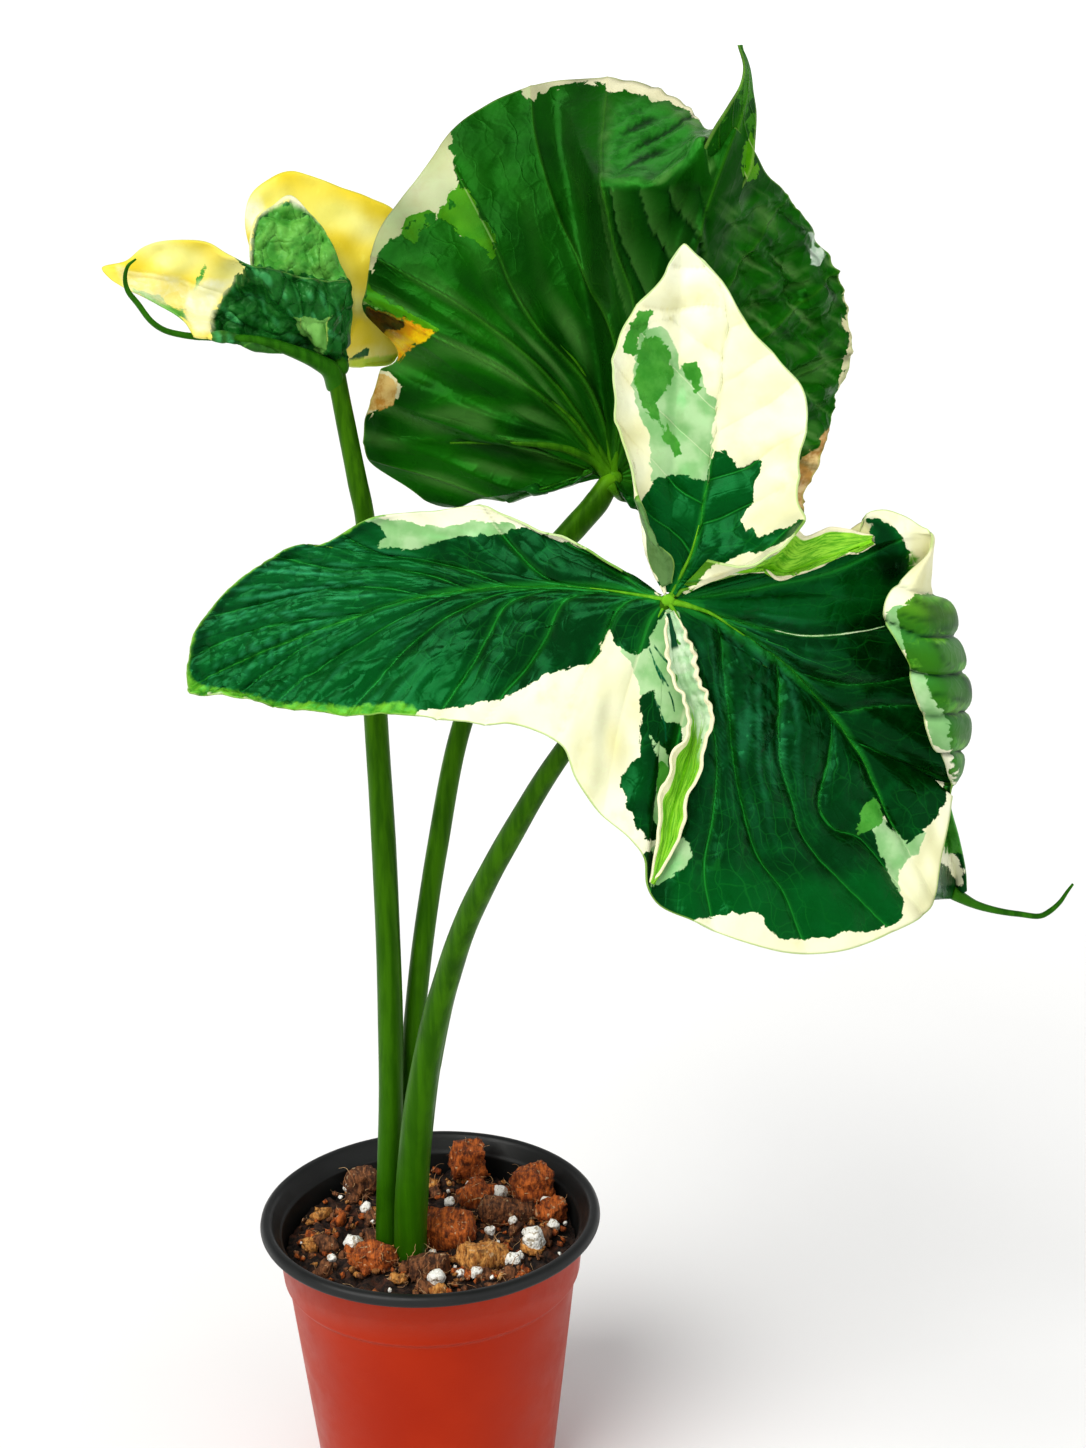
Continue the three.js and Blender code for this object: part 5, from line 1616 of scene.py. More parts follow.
def back_blade(material):
    ribs = back_ribs()
    grid, rib_at, station = fine_grid(ribs, 480, 98)
    u, v = grid[..., 0], grid[..., 1]
    p = back_places(u, v, station)
    # Painted light and shade in the tone: lighter on the lit folded lip and the glossy puckers, darker just below the
    # lip.
    shade_below_lip = (1 - p.left) * p.below_lip * (1 - p.puckered)
    fields = leaf_fields(
        grid, green=-inside_any(BACK_CREAM, u, v), pale=inside_any(BACK_LIME, u, v),
        number=p.number, gap=p.gap, thick=0.25 + 0.9 * np.exp(-p.reach / 60),
        tone=0.1 * p.upper_left + 0.8 * p.lip + p.puckered - 0.6 * shade_below_lip,
        soft=back_painted_sheen(p), shade=back_shade(p),
        pucker=np.clip(0.12 + 0.8 * p.puckered + 0.3 * p.lip, 0, 1),
        **{field: inside(outline, u, v) for field, outline in BACK_SPOTS.items()})
    piece = sheet_object("back_blade", grid, back_relief(p, rib_at, station, len(ribs) - 1), fields)
    flip_faces(piece)
    finish_piece(piece, material, *BACK)
    return grid


def flip_faces(piece):
    """Names the face toward the viewer the leaf's underside."""
    upper = piece.data.attributes["upper"]
    values = np.zeros(len(piece.data.vertices), np.float32)
    upper.data.foreach_get("value", values)
    upper.data.foreach_set("value", 1 - values)


def back_tail(material):
    grid = sheet_through(BACK_TAIL, 110, 22)
    u, v = grid[..., 0], grid[..., 1]
    along, across = np.meshgrid(np.linspace(0, 1, 110), np.linspace(-1, 1, 22), indexing="ij")
    flat = np.zeros(u.shape)
    fields = leaf_fields(
        grid, green=flat + 20, pale=inside(BACK_LIME[2], u, v), fresh=12 * (along - 0.6),
        number=across * 1.4 + along * 6, gap=flat + 26, rib=across * 14, rib_thick=flat + 1.2,
        edge=(1 - np.abs(across)) * 14, **dict.fromkeys(BACK_SPOTS, flat + FAINT_OFF))
    piece = sheet_object("back_tail", grid, 0.6 * bell(across, 0.1) * (1 - along), fields)
    flip_faces(piece)
    finish_piece(piece, material, *BACK)


# The left leaf
LEFT_HEART = (340, 366, -30)
LEFT_FACE = [
    (345, 281, -24), (314, 279, -18), (279, 271, -14), (251, 265, -11), (230, 255, -10),
    (208, 243, -13), (189, 240, -16), (157, 242, -20), (142, 248, -21), (126, 261, -21),
    (102, 268, -20), (108, 277, -19), (126, 289, -18), (157, 304, -15), (184, 321, -10),
    (192, 334, -8),
]
LEFT_KEEL = [
    (336, 386, -30), (331, 371, -27), (316, 361, -23), (295, 352, -19), (265, 342, -14),
    (230, 338, -11), (194, 337, -10),
]
LEFT_KEEL_WIDTHS = (20, 20, 16, 13, 10, 8, 6)
LEFT_TAIL = [
    (200, 337, -11), (183, 335, -9), (164, 330, -6), (151, 321, -4), (138, 304, -2), (128, 291, 0),
    (125, 279, 1), (128, 266, 2), (136, 259, 2),
]
LEFT_TAIL_WIDTHS = (7, 6.5, 6, 6, 6, 5.5, 4.5, 3.5, 2)
LEFT_UPPER_LOBE = [
    (349, 342, -33), (352, 314, -35), (347, 281, -37), (337, 257, -39), (325, 230, -41),
    (309, 212, -43), (290, 196, -45), (272, 206, -43), (258, 215, -41), (251, 230, -38),
    (250, 262, -34), (258, 290, -31),
]
LEFT_BACK_LOBE = [
    (262, 290, -50), (250, 250, -53), (245, 216, -55), (251, 195, -57), (268, 180, -58),
    (289, 171, -59), (309, 175, -59), (342, 188, -60), (370, 198, -61), (396, 212, -61),
    (404, 250, -61), (404, 300, -60), (402, 335, -58), (396, 359, -56), (384, 364, -50),
    (360, 367, -42),
]
LEFT_DARK = [
    (232, 254), (244, 266), (242, 274), (235, 278), (231, 287), (225, 293), (222, 302), (218, 308),
    (211, 312), (209, 332), (215, 345), (300, 360), (345, 385), (365, 330), (350, 262), (300, 262),
    (262, 258),
]
LEFT_SLIVER = [
    (134, 290), (150, 296), (160, 296), (166, 302), (174, 308), (184, 310), (188, 322), (163, 312),
]
LEFT_STREAK = [(205, 264), (208, 267), (204, 278), (199, 287), (196, 295), (193, 291), (199, 276)]
LEFT_FOLD = [
    (118, 268), (130, 272), (152, 275), (179, 279), (190, 285), (193, 299), (184, 310), (164, 304),
    (145, 296), (125, 285),
]
LEFT_WHITE = [
    (184, 300), (188, 290), (196, 286), (203, 281), (212, 278), (224, 281), (234, 280), (228, 287),
    (222, 295), (217, 305), (212, 314), (211, 332), (196, 335), (186, 318),
]
LEFT_PALE_TIP = [
    (246, 262), (243, 215), (252, 198), (272, 192), (290, 186), (304, 190), (322, 212), (309, 212),
    (300, 203), (288, 200), (270, 206), (256, 215), (251, 232), (250, 250),
]
LEFT_CLEAR = [(293, 318), (322, 318), (331, 312), (324, 354), (313, 346), (300, 335)]
LEFT_BACK_STRIP = [(340, 366), (350, 360), (372, 357), (400, 354), (402, 366), (345, 376)]
LEFT_BACK_GREEN = [(347, 361), (356, 354), (368, 350), (366, 356), (356, 361)]
LEFT_UPPER_GREEN = [
    (240, 300), (250, 262), (252, 232), (258, 217), (270, 208), (282, 205), (290, 203), (297, 206),
    (310, 210), (340, 240), (365, 300), (355, 375), (330, 376),
]
UPPER_LIGHT_FOOT = (244, 264)
UPPER_LIGHT_FALL = 0.17
BACK_WARM = (270, 340)
BACK_PALE_CORNER = (254, 214)
LEFT_MIDRIBS = {
    "left_face": [(340, 366), (300, 330), (240, 300), (160, 275), (104, 268)],
    "left_upper": [(340, 366), (325, 310), (305, 250), (290, 200)],
    "left_back": [(340, 366), (355, 310), (335, 240), (295, 175)],
}
LEFT_LOOK = {
    "green": ((0.004, 0.066, 0.007), (0.012, 0.135, 0.018), (0.035, 0.22, 0.035)),
    "under": ((0.02, 0.10, 0.01), (0.04, 0.15, 0.02)),
    "vein": (0.03, 0.20, 0.03), "vein_under": (0.10, 0.28, 0.04),
    "pale": ((0.14, 0.36, 0.07), (0.22, 0.48, 0.12)),
    "fresh": ((0.06, 0.27, 0.035), (0.14, 0.40, 0.07)),
    "cream": ((0.77, 0.70, 0.16), (0.83, 0.80, 0.36), (0.74, 0.57, 0.035)),
    # soft is the colour of the painted sheen
    "soft": (0.05, 0.28, 0.09), "bead": 330,
    "rib": (0.08, 0.28, 0.03), "rib_under": (0.08, 0.28, 0.03), "rib_cream": (0.80, 0.74, 0.30),
    "rough": (0.26, 0.40), "matte": 0.04, "depth": 0.6, "edge_share": 0.25, "groove": 0.05,
    "cream_net": 0.0, "tint": (0.5, 1.0, 0.5), "gloss": 0.3,
    "spots": {
        "white": ((0.80, 0.79, 0.58), (0.78, 0.75, 0.42), 0.5, 5.0),
        "strip": ((0.40, 0.56, 0.02), (0.52, 0.62, 0.04), 0.5, 2.0),
    },
}


def left_sheet(name, ribs, size, vein_height, texture):
    """One sheet of the left leaf before its relief and colours: its grid and its veins.
    texture is how much of the green parts' puckers, painted sheen and painted crease shade it shows."""
    grid, rib_at, station = fine_grid(ribs, *size)
    u, v = grid[..., 0], grid[..., 1]
    midrib = LEFT_MIDRIBS[name]
    number, gap = feather_veins(midrib, u, v, 34, (0.7, 0.7), 0.003)
    return SimpleNamespace(
        name=name, grid=grid, u=u, v=v, rib_at=rib_at, station=station, gap=gap, texture=texture,
        number=number + 0.12 * wavy(u, v, 60, 2), far=np.full(u.shape, FAINT_OFF),
        vein=vein_height * line_strength([(midrib, 2.6)], u, v),
        warm=0.45 + 0.55 * wavy(0.8 * u + 0.3 * v, v, 48, 77))


def quilted(u, v, domes):
    return 1.6 * wavy(u, v, 34, 31) + 1.3 * (domes - 0.5) + 0.4 * wavy(u, v, 12, 33)


def billowed(s):
    return 0.9 * wavy(s.u, s.v, 44, 6) + 0.35 * wavy(s.u, s.v, 24, 7) - 0.5 * s.vein


def finish_left(s, material, relief, domes, glossy, **parts):
    """Makes a sheet of the left leaf from its relief and its coloured parts."""
    relief = relief * ease(0, 0.6, s.station) * (1 - 0.8 * ease(5.0, 6.0, s.station))
    leafy = s.texture * ease(-2, 6, np.maximum(parts["green"], parts["fresh"]))
    # Painted shade falls in the creases between domes, and a painted sheen where glossy is high.
    creases = ease(0.3, 0.05, domes) * ease(-0.6, 0.4, wavy(s.u, s.v, 30, 34))
    fields = leaf_fields(
        s.grid, number=s.number, gap=s.gap, thick=np.full(s.u.shape, 0.16),
        soft=0.8 * leafy * glossy, shade=0.6 * leafy * creases, pucker=0.5 * leafy,
        warm=np.clip(s.warm, 0, 1), **{"pale": s.far, "strip": s.far, **parts})
    finish_piece(sheet_object(s.name, s.grid, relief, fields), material, *LEFT)


def left_face(material):
    """The folded front of the leaf, from its upper margin down to the keel."""
    keel = [(u, v - 3, near) for u, v, near in LEFT_KEEL]
    keel_rib = smooth_through(keel, even_places(np.array(keel, float), 7))
    ribs = np.array([rib(LEFT_HEART, margin, 5) for margin in LEFT_FACE] + [keel_rib])
    s = left_sheet("left_face", ribs, (290, 92), 0.5, 1)
    turned = (0.75 * s.u - 0.5 * s.v, 0.5 * s.u + 0.6 * s.v)
    domes = blisters(*turned, 25, 31)
    green = inside(LEFT_DARK, s.u, s.v)
    fold = inside(LEFT_FOLD, s.u, s.v)
    off_keel = ease(0, 3, len(ribs) - 1 - s.rib_at)
    relief = billowed(s) + 1.2 * quilted(s.u, s.v, domes) * ease(-2, 10, green) * off_keel
    # The fold's underside takes the deeper yellow as painted shade.
    s.warm = np.maximum(s.warm, 0.9 * ease(-2, 4, fold))
    finish_left(s, material, relief - 0.8 * ease(-1, 4, fold), domes,
                ease(0.25, 0.95, wavy(*turned, 14, 35)), green=green,
                pale=inside(LEFT_CLEAR, s.u, s.v),
                fresh=inside_any([LEFT_SLIVER, LEFT_STREAK], s.u, s.v),
                white=np.maximum(inside(LEFT_WHITE, s.u, s.v), np.minimum(fold, 0)))


def left_upper(material):
    """The lobe that stands up behind the face."""
    ribs = [rib(LEFT_HEART, margin, 3) for margin in LEFT_UPPER_LOBE]
    s = left_sheet("left_upper", ribs, (170, 84), 0.8, 1)
    domes = blisters(s.u, s.v, 25, 31)
    green = inside(LEFT_UPPER_GREEN, s.u, s.v)
    light = UPPER_LIGHT_FOOT[1] + UPPER_LIGHT_FALL * (s.u - UPPER_LIGHT_FOOT[0]) - s.v
    finish_left(s, material, billowed(s) + quilted(s.u, s.v, domes), domes, 0, green=green,
                fresh=np.minimum(green - 3, light),
                white=np.maximum(-green, inside(LEFT_PALE_TIP, s.u, s.v)))


def left_back(material):
    """The yellow lobe at the back."""
    ribs = [rib(LEFT_HEART, margin, -3) for margin in LEFT_BACK_LOBE]
    s = left_sheet("left_back", ribs, (130, 50), 0.8, 0)
    relief = 1.5 * wavy(0.75 * s.u + 0.3 * s.v, s.v, 52, 9) + 0.5 * wavy(s.u, s.v, 26, 10)
    s.warm = s.warm + 0.4 * ease(*BACK_WARM, s.v)
    corner = np.hypot((s.u - BACK_PALE_CORNER[0]) * 0.9, (s.v - BACK_PALE_CORNER[1]) * 0.55)
    finish_left(s, material, relief, s.far, 0, green=inside(LEFT_BACK_GREEN, s.u, s.v),
                fresh=s.far, strip=inside(LEFT_BACK_STRIP, s.u, s.v), white=9 - corner)


# Stalks: [place, width in pixels] from the soil up
LEFT_STALK = [
    ((388, 1243, 5), 25), ((391, 1100, 2), 25.5), ((390, 1000, -2), 26), ((384, 850, -7), 25),
    ((376, 722, -12), 24), ((370, 620, -17), 22), ((365, 520, -22), 20), ((357, 480, -24), 20),
    ((345, 420, -28), 19), ((336, 374, -30), 19),
]
MIDDLE_STALK = [
    ((403, 1225, -5), 22), ((407, 1140, -6), 22), ((413, 1040, -7), 22), ((422, 950, -9), 21),
    ((437, 850, -11), 21), ((462, 725, -14), 20), ((505, 620, -17), 21), ((545, 560, -18), 23),
    ((575, 527, -18), 25), ((596, 503, -18), 25), ((607, 486, -19), 22), ((613, 477, -20), 16),
]
RIGHT_STALK = [
    ((410, 1250, 13), 33), ((412, 1180, 14), 33), ((420, 1100, 16), 31), ((434, 1025, 20), 28),
    ((448, 975, 24), 26), ((465, 925, 31), 25), ((489, 875, 39), 24), ((517, 825, 45), 23),
    ((547, 775, 51), 21), ((600, 700, 60), 19), ((640, 645, 67), 18), ((668, 602, 78.5), 18),
]
STALK_ROOT = 26
SHEATH_STEP = 0.09
SHEATH_TURN = 1.6


def stalk(name, stations, node, sheath, material):
    """A fleshy stalk. sheath is the angle of the seam where its base wraps over itself, or
    None, and how far up it runs."""
    centres = at([place for place, _ in stations])
    radii = np.array([half_width(place, width) for place, width in stations])
    centres = np.vstack([centres[0] - [0, 0, STALK_ROOT], centres])
    radii = np.concatenate([radii[:1], radii])
    where = np.linspace(0, len(centres) - 1, 160)
    width = np.interp(where, np.arange(len(radii)), radii) * (1 + 0.01 * np.sin(where * 5.1))

    def section(angles, share):
        reach = 1 + 0.012 * np.cos(3 * angles + 4 * share)
        if sheath is None:
            return reach
        seam, top = sheath
        fade = ease(top, top * 0.6, share)
        turn = (angles - seam + 0.9 * share) % (2 * math.pi)
        wrap = np.where(turn < SHEATH_TURN, 1 - turn / SHEATH_TURN, 0)
        return reach + SHEATH_STEP * fade * wrap - 0.03 * fade

    piece = tube_object(name, smooth_through(centres, where), width, 44, section)
    finish_piece(piece, material, "stalk_green", node)


def hub(name, heart, radii, material, slot, node):
    """The fleshy knot where a stalk's ribs part into the blade."""
    mesh = bpy.data.meshes.new(name)
    knot = bmesh.new()
    bmesh.ops.create_uvsphere(knot, u_segments=32, v_segments=20, radius=1.0)
    centre = at(heart)
    for vertex in knot.verts:
        vertex.co = tuple((centre + np.array(vertex.co) * radii) * MM)
    knot.to_mesh(mesh)
    knot.free()
    smooth(mesh)
    piece = placed(name, mesh)
    set_field(piece, "along", np.full(len(mesh.vertices), 0.1))
    finish_piece(piece, material, slot, node)


def heart_ribs(name, blade, lines, lift, material, slot, node):
    """Raised ribs that part from the heart and sink into the blade."""
    count, sides = 40, 12
    share = np.linspace(0, 1, count)
    points = []
    faces = []
    for line, width in lines:
        places = dense_line(line, count)
        near = np.array([near_on(blade, u, v) for u, v in places])
        near = np.convolve(np.pad(near, 4, mode="edge"), np.ones(9) / 9, mode="valid")
        centres = at(np.column_stack([places, near + lift - 0.6 * share ** 2]))
        radii = half_width((*line[0], near[0]), width) * (1 - 0.85 * share)
        faces += ring_faces(count, sides, count * sides * len(points))
        points.append(tube_rings(centres, radii, sides).reshape(-1, 3))
    piece = add_object(name, np.vstack(points), faces)
    along = np.repeat(np.linspace(0.05, 1, count), sides)
    set_field(piece, "along", np.tile(along, len(points)))
    finish_piece(piece, material, slot, node)


# The pot
RIM_RADIUS = 60
RIM_WIDTH = 4.2
RIM_DROP = 3.8
BASE_RADIUS = 41.5
WALL_SLOPE = 0.1165
WALL_THICKNESS = 1.3
COLLAR_HEIGHT = 23
COLLAR_STEP = 1.4
FLOOR_THICKNESS = 1.8
DRAIN_HOLES = 8
DRAIN_RADIUS = 4
DRAIN_CIRCLE = 29
POT_SIDES = 192
AXIS_RADIUS = 0.01


def wall_at(z):
    """The radius of the pot's outer wall at a height."""
    return BASE_RADIUS + WALL_SLOPE * z


def rounded(points, reach):
    """An outline with each corner cut to a small round."""
    points = [np.array(p, float) for p in points]
    line = [points[0]]
    for before, corner, after in zip(points, points[1:], points[2:]):
        back, on = before - corner, after - corner
        back_length, on_length = np.linalg.norm(back), np.linalg.norm(on)
        room = min(reach, 0.45 * back_length, 0.45 * on_length)
        start = corner + back / back_length * room
        end = corner + on / on_length * room
        for t in (0, 0.33, 0.67, 1):
            line.append((1 - t) ** 2 * start + 2 * t * (1 - t) * corner + t * t * end)
    line.append(points[-1])
    return line


def circle_rows(outline, sides):
    """Rings of points about the upright axis, one for each radius and height."""
    angles = around(sides)
    return np.vstack([np.column_stack([r * np.cos(angles), r * np.sin(angles), np.full(sides, z)])
                      for r, z in outline])


def pot_outline():
    """The pot's outside from the axis to the collar, and its rim and inside to the axis."""
    collar = POT_HEIGHT - COLLAR_HEIGHT
    rim_foot = POT_HEIGHT - RIM_DROP
    rim_inside = RIM_RADIUS - RIM_WIDTH
    inner_top = wall_at(POT_HEIGHT) - WALL_THICKNESS + 0.9
    under_rim = (wall_at(rim_foot) + COLLAR_STEP, rim_foot + 0.6)
    outside = rounded([
        (AXIS_RADIUS, 0.0), (BASE_RADIUS - 1, 0), (wall_at(1), 1),
        (wall_at(collar - 0.8), collar - 0.8), (wall_at(collar) + COLLAR_STEP, collar + 0.6), under_rim,
    ], 0.8)
    lip = rounded([
        under_rim, (RIM_RADIUS - 0.6, rim_foot), (RIM_RADIUS, rim_foot + 1),
        (RIM_RADIUS - 0.4, POT_HEIGHT - 0.9), (RIM_RADIUS - 1.5, POT_HEIGHT),
        (rim_inside + 0.9, POT_HEIGHT - 0.1), (rim_inside, POT_HEIGHT - 1),
        (inner_top, POT_HEIGHT - 5.5), (inner_top - 0.9, POT_HEIGHT - 6.4),
        (wall_at(collar) - WALL_THICKNESS + COLLAR_STEP, collar + 0.2),
        (wall_at(collar) - WALL_THICKNESS, collar - 1.2),
        (wall_at(FLOOR_THICKNESS) - WALL_THICKNESS, FLOOR_THICKNESS), (AXIS_RADIUS, FLOOR_THICKNESS),
    ], 0.9)
    return outside, lip


def pot(outer_material, inner_material):
    outside, lip = pot_outline()
    outline = np.array(outside + lip[1:])
    piece = add_object("pot_shell", circle_rows(outline, POT_SIDES), ring_faces(len(outline), POT_SIDES))
    for material in (outer_material, inner_material):
        piece.data.materials.append(material)
    first_black = (len(outside) - 1) * POT_SIDES
    underside = (len(outline) - 1) * POT_SIDES
    for index, face in enumerate(piece.data.polygons):
        face.material_index = int(index >= first_black and index != underside)
    cut_drain_holes(piece)
    mark(piece, "pot_plastic", "pot")


def cut_drain_holes(piece):
    drill_mesh = bpy.data.meshes.new("drain_drill")
    drills = bmesh.new()
    for i in range(DRAIN_HOLES):
        angle = 2 * math.pi * (i + 0.5) / DRAIN_HOLES
        made = bmesh.ops.create_cone(drills, cap_ends=True, segments=40, radius1=DRAIN_RADIUS * MM,
                                     radius2=DRAIN_RADIUS * MM, depth=3 * FLOOR_THICKNESS * MM)
        place = (DRAIN_CIRCLE * MM * math.cos(angle), DRAIN_CIRCLE * MM * math.sin(angle),
                 FLOOR_THICKNESS / 2 * MM)
        bmesh.ops.translate(drills, verts=made["verts"], vec=place)
    drills.to_mesh(drill_mesh)
    drills.free()
    drill = placed("drain_drill", drill_mesh)
    cut = piece.modifiers.new("drains", "BOOLEAN")
    cut.operation = "DIFFERENCE"
    cut.object = drill
    cut.solver = "EXACT"
    bpy.context.view_layer.update()
    ready = piece.evaluated_get(bpy.context.evaluated_depsgraph_get())
    mesh = bpy.data.meshes.new_from_object(ready)
    piece.modifiers.clear()
    piece.data = mesh
    bpy.data.objects.remove(drill)


def plastic(name, shades, tint):
    """Moulded plastic: a soft satin with faint scuffs and fine dust."""
    n = Nodes(name)
    base = n.blend(n.ramp(n.noise(22, 4, 0.5), 0.35, 0.7), shades[0], shades[1])
    scuff = n.noise(240, 4, 0.7, n.stretched((1, 1, 5)))
    base = n.blend(n.ramp(scuff, 0.6, 0.8, 0.0, 0.3), base, shades[2])
    grain = n.bump(n.noise(1400, 2), 0.05 * MM, 0.5)
    normal = n.bump(n.noise(40, 2), 0.25 * MM, 0.6, Normal=grain)
    rough = n.ramp(n.noise(90, 4, 0.6), 0.3, 0.7, 0.34, 0.46)
    return n.set(Base_Color=base, Roughness=rough, Normal=normal, Specular_IOR_Level=0.3,
                 Specular_Tint=tint)


# The soil
SOIL_TOP = POT_HEIGHT - 11.5
SOIL_FOOT = FLOOR_THICKNESS + 0.35
SHOWN_CHIPS = [
    ((468, 1166), (12, 10, 13), 0.3, 0), ((449, 1240), (17, 13, 14), -0.25, 0),
    ((532, 1190), (14, 11, 12), 0.5, 0), ((507, 1216), (20, 9, 9), 0.25, 1),
    ((482, 1262), (16, 12, 9), 0.6, 2), ((428, 1270), (13, 10, 7), 0.1, 1),
    ((373, 1262), (15, 10, 8), -0.5, 0), ((362, 1186), (11, 9, 9), 0.9, 1),
    ((478, 1200), (13, 9, 8), 1.1, 0), ((552, 1214), (11, 8, 7), 0.8, 0),
]
SHOWN_GRAINS = [
    ((351, 1192), 5.5), ((354, 1248), 6), ((437, 1283), 6.5), ((534, 1247), 8), ((549, 1210), 6),
    ((366, 1211), 4), ((500, 1197), 5), ((553, 1230), 4.5), ((513, 1264), 4.5), ((433, 1256), 3),
    ((450, 1205), 3.5), ((473, 1183), 3), ((476, 1276), 4), ((462, 1222), 3), ((490, 1234), 3.5),
]
SOIL_REACH = 51.5
BED_RADIUS = 51.4
BED_SIDES = 230
FIBRE_REACH = 50
LOOSE_CHIPS = 46
LOOSE_GRAINS = 46
LOOSE_FIBRES = 90
CRUMBS = 420


def soil_point(pixel, room=3.0):
    """Where a pixel's ray meets the soil, or the place above it that has room to the wall."""
    ray = at((*pixel, 0.0)) - EYE
    for height in np.arange(SOIL_TOP, POT_HEIGHT + 20, 0.25):
        place = EYE + ray * ((height - EYE[2]) / ray[2])
        if math.hypot(*place[:2]) < SOIL_REACH - room:
            return place


def bumpy(points, size, seed, octaves=3):
    """A smooth 3-D field with bumps of a size in millimetres."""
    rng = np.random.default_rng(seed)
    total = np.zeros(len(points))
    share = 1.0
    for _ in range(octaves):
        for _ in range(5):
            wave = rng.normal(size=3)
            wave *= 2 * math.pi / (size * rng.uniform(0.8, 1.5)) / np.linalg.norm(wave)
            total += share * np.sin(points @ wave + rng.uniform(0, 2 * math.pi)) / 3
        size *= 0.48
        share *= 0.55
    return total


def soil_bed(material):
    """The mix's rough top, and its body down to the pot's floor."""
    radii = np.linspace(0.5, BED_RADIUS, 74)
    top = circle_rows([(radius, 0) for radius in radii], BED_SIDES)
    swell = bumpy(top, 17, 71, 2) + bumpy(top, 6, 72, 3)
    sunk_edge = 1.6 * ease(44, BED_RADIUS, np.repeat(radii, BED_SIDES))
    top[:, 2] = SOIL_TOP - 1.0 + swell - sunk_edge
    low = [(wall_at(z) - WALL_THICKNESS - 0.5, z) for z in (SOIL_TOP - 6, SOIL_FOOT + 40, SOIL_FOOT)]
    vertices = np.vstack([top, circle_rows(low, BED_SIDES)])
    faces = [face[:1] + face[:0:-1] for face in ring_faces(len(radii) + len(low), BED_SIDES)]
    finish_piece(add_object("soil_bed", vertices, faces), material, *SOIL)


def lump(size, cuts, rough, seed, round_share):
    """A rough lump: a box, partly rounded, with fine broken faces."""
    form = bmesh.new()
    bmesh.ops.create_cube(form, size=1.0)
    bmesh.ops.subdivide_edges(form, edges=form.edges[:], cuts=cuts, use_grid_fill=True)
    points = np.array([vertex.co for vertex in form.verts])
    faces = [[vertex.index for vertex in face.verts] for face in form.faces]
    form.free()
    ball = points / np.linalg.norm(points, axis=1, keepdims=True) * 0.56
    points = (points * (1 - round_share) + ball * round_share) * np.array(size)
    outward = points / (np.linalg.norm(points, axis=1, keepdims=True) + 1e-9)
    coarse = rough * bumpy(points, 0.55 * max(size), seed, 3)
    shift = coarse + 0.35 * rough * bumpy(points, 1.4, seed + 1, 1)
    return points + outward * shift[:, None], faces


def turn_about(points, angles):
    """Points turned about the x, then the y, then the z axis."""
    for axis, angle in enumerate(angles):
        turn = np.eye(3)
        a, b = (axis + 1) % 3, (axis + 2) % 3
        turn[[a, b], [a, b]] = math.cos(angle)
        turn[b, a] = math.sin(angle)
        turn[a, b] = -math.sin(angle)
        points = points @ turn.T
    return points


class Heap:
    """Many small forms gathered in one mesh."""

    def __init__(self):
        self.points = []
        self.faces = []
        self.tone = []

    def put(self, points, faces, tone):
        self.faces.extend([[k + len(self.tone) for k in face] for face in faces])
        self.points.append(points)
        self.tone.extend([tone] * len(points))

    def finish(self, name, material):
        piece = add_object(name, np.vstack(self.points), self.faces)
        set_field(piece, "tone", self.tone)
        finish_piece(piece, material, *SOIL)


def strand(start, heading, length, radius, bend, rng):
    """A curled husk fibre."""
    steps, stations, sides = 6, 12, 4
    points = [np.array(start, float)]
    heading = np.array(heading, float)
    for _ in range(steps):
        heading = heading / np.linalg.norm(heading) + rng.normal(size=3) * bend
        points.append(points[-1] + heading / np.linalg.norm(heading) * length / steps)
    radii = np.linspace(radius, 0.35 * radius, stations)
    rings = tube_rings(dense_line(points, stations), radii, sides)
    return rings.reshape(-1, 3), ring_faces(stations, sides)


def stalk_room(x, y):
    """How far a spot on the soil is from the nearest stalk."""
    rooms = []
    for stations in (LEFT_STALK, MIDDLE_STALK, RIGHT_STALK):
        foot = at(stations[0][0])
        rooms.append(math.hypot(x - foot[0], y - foot[1]) - half_width(*stations[0]))
    return min(rooms)


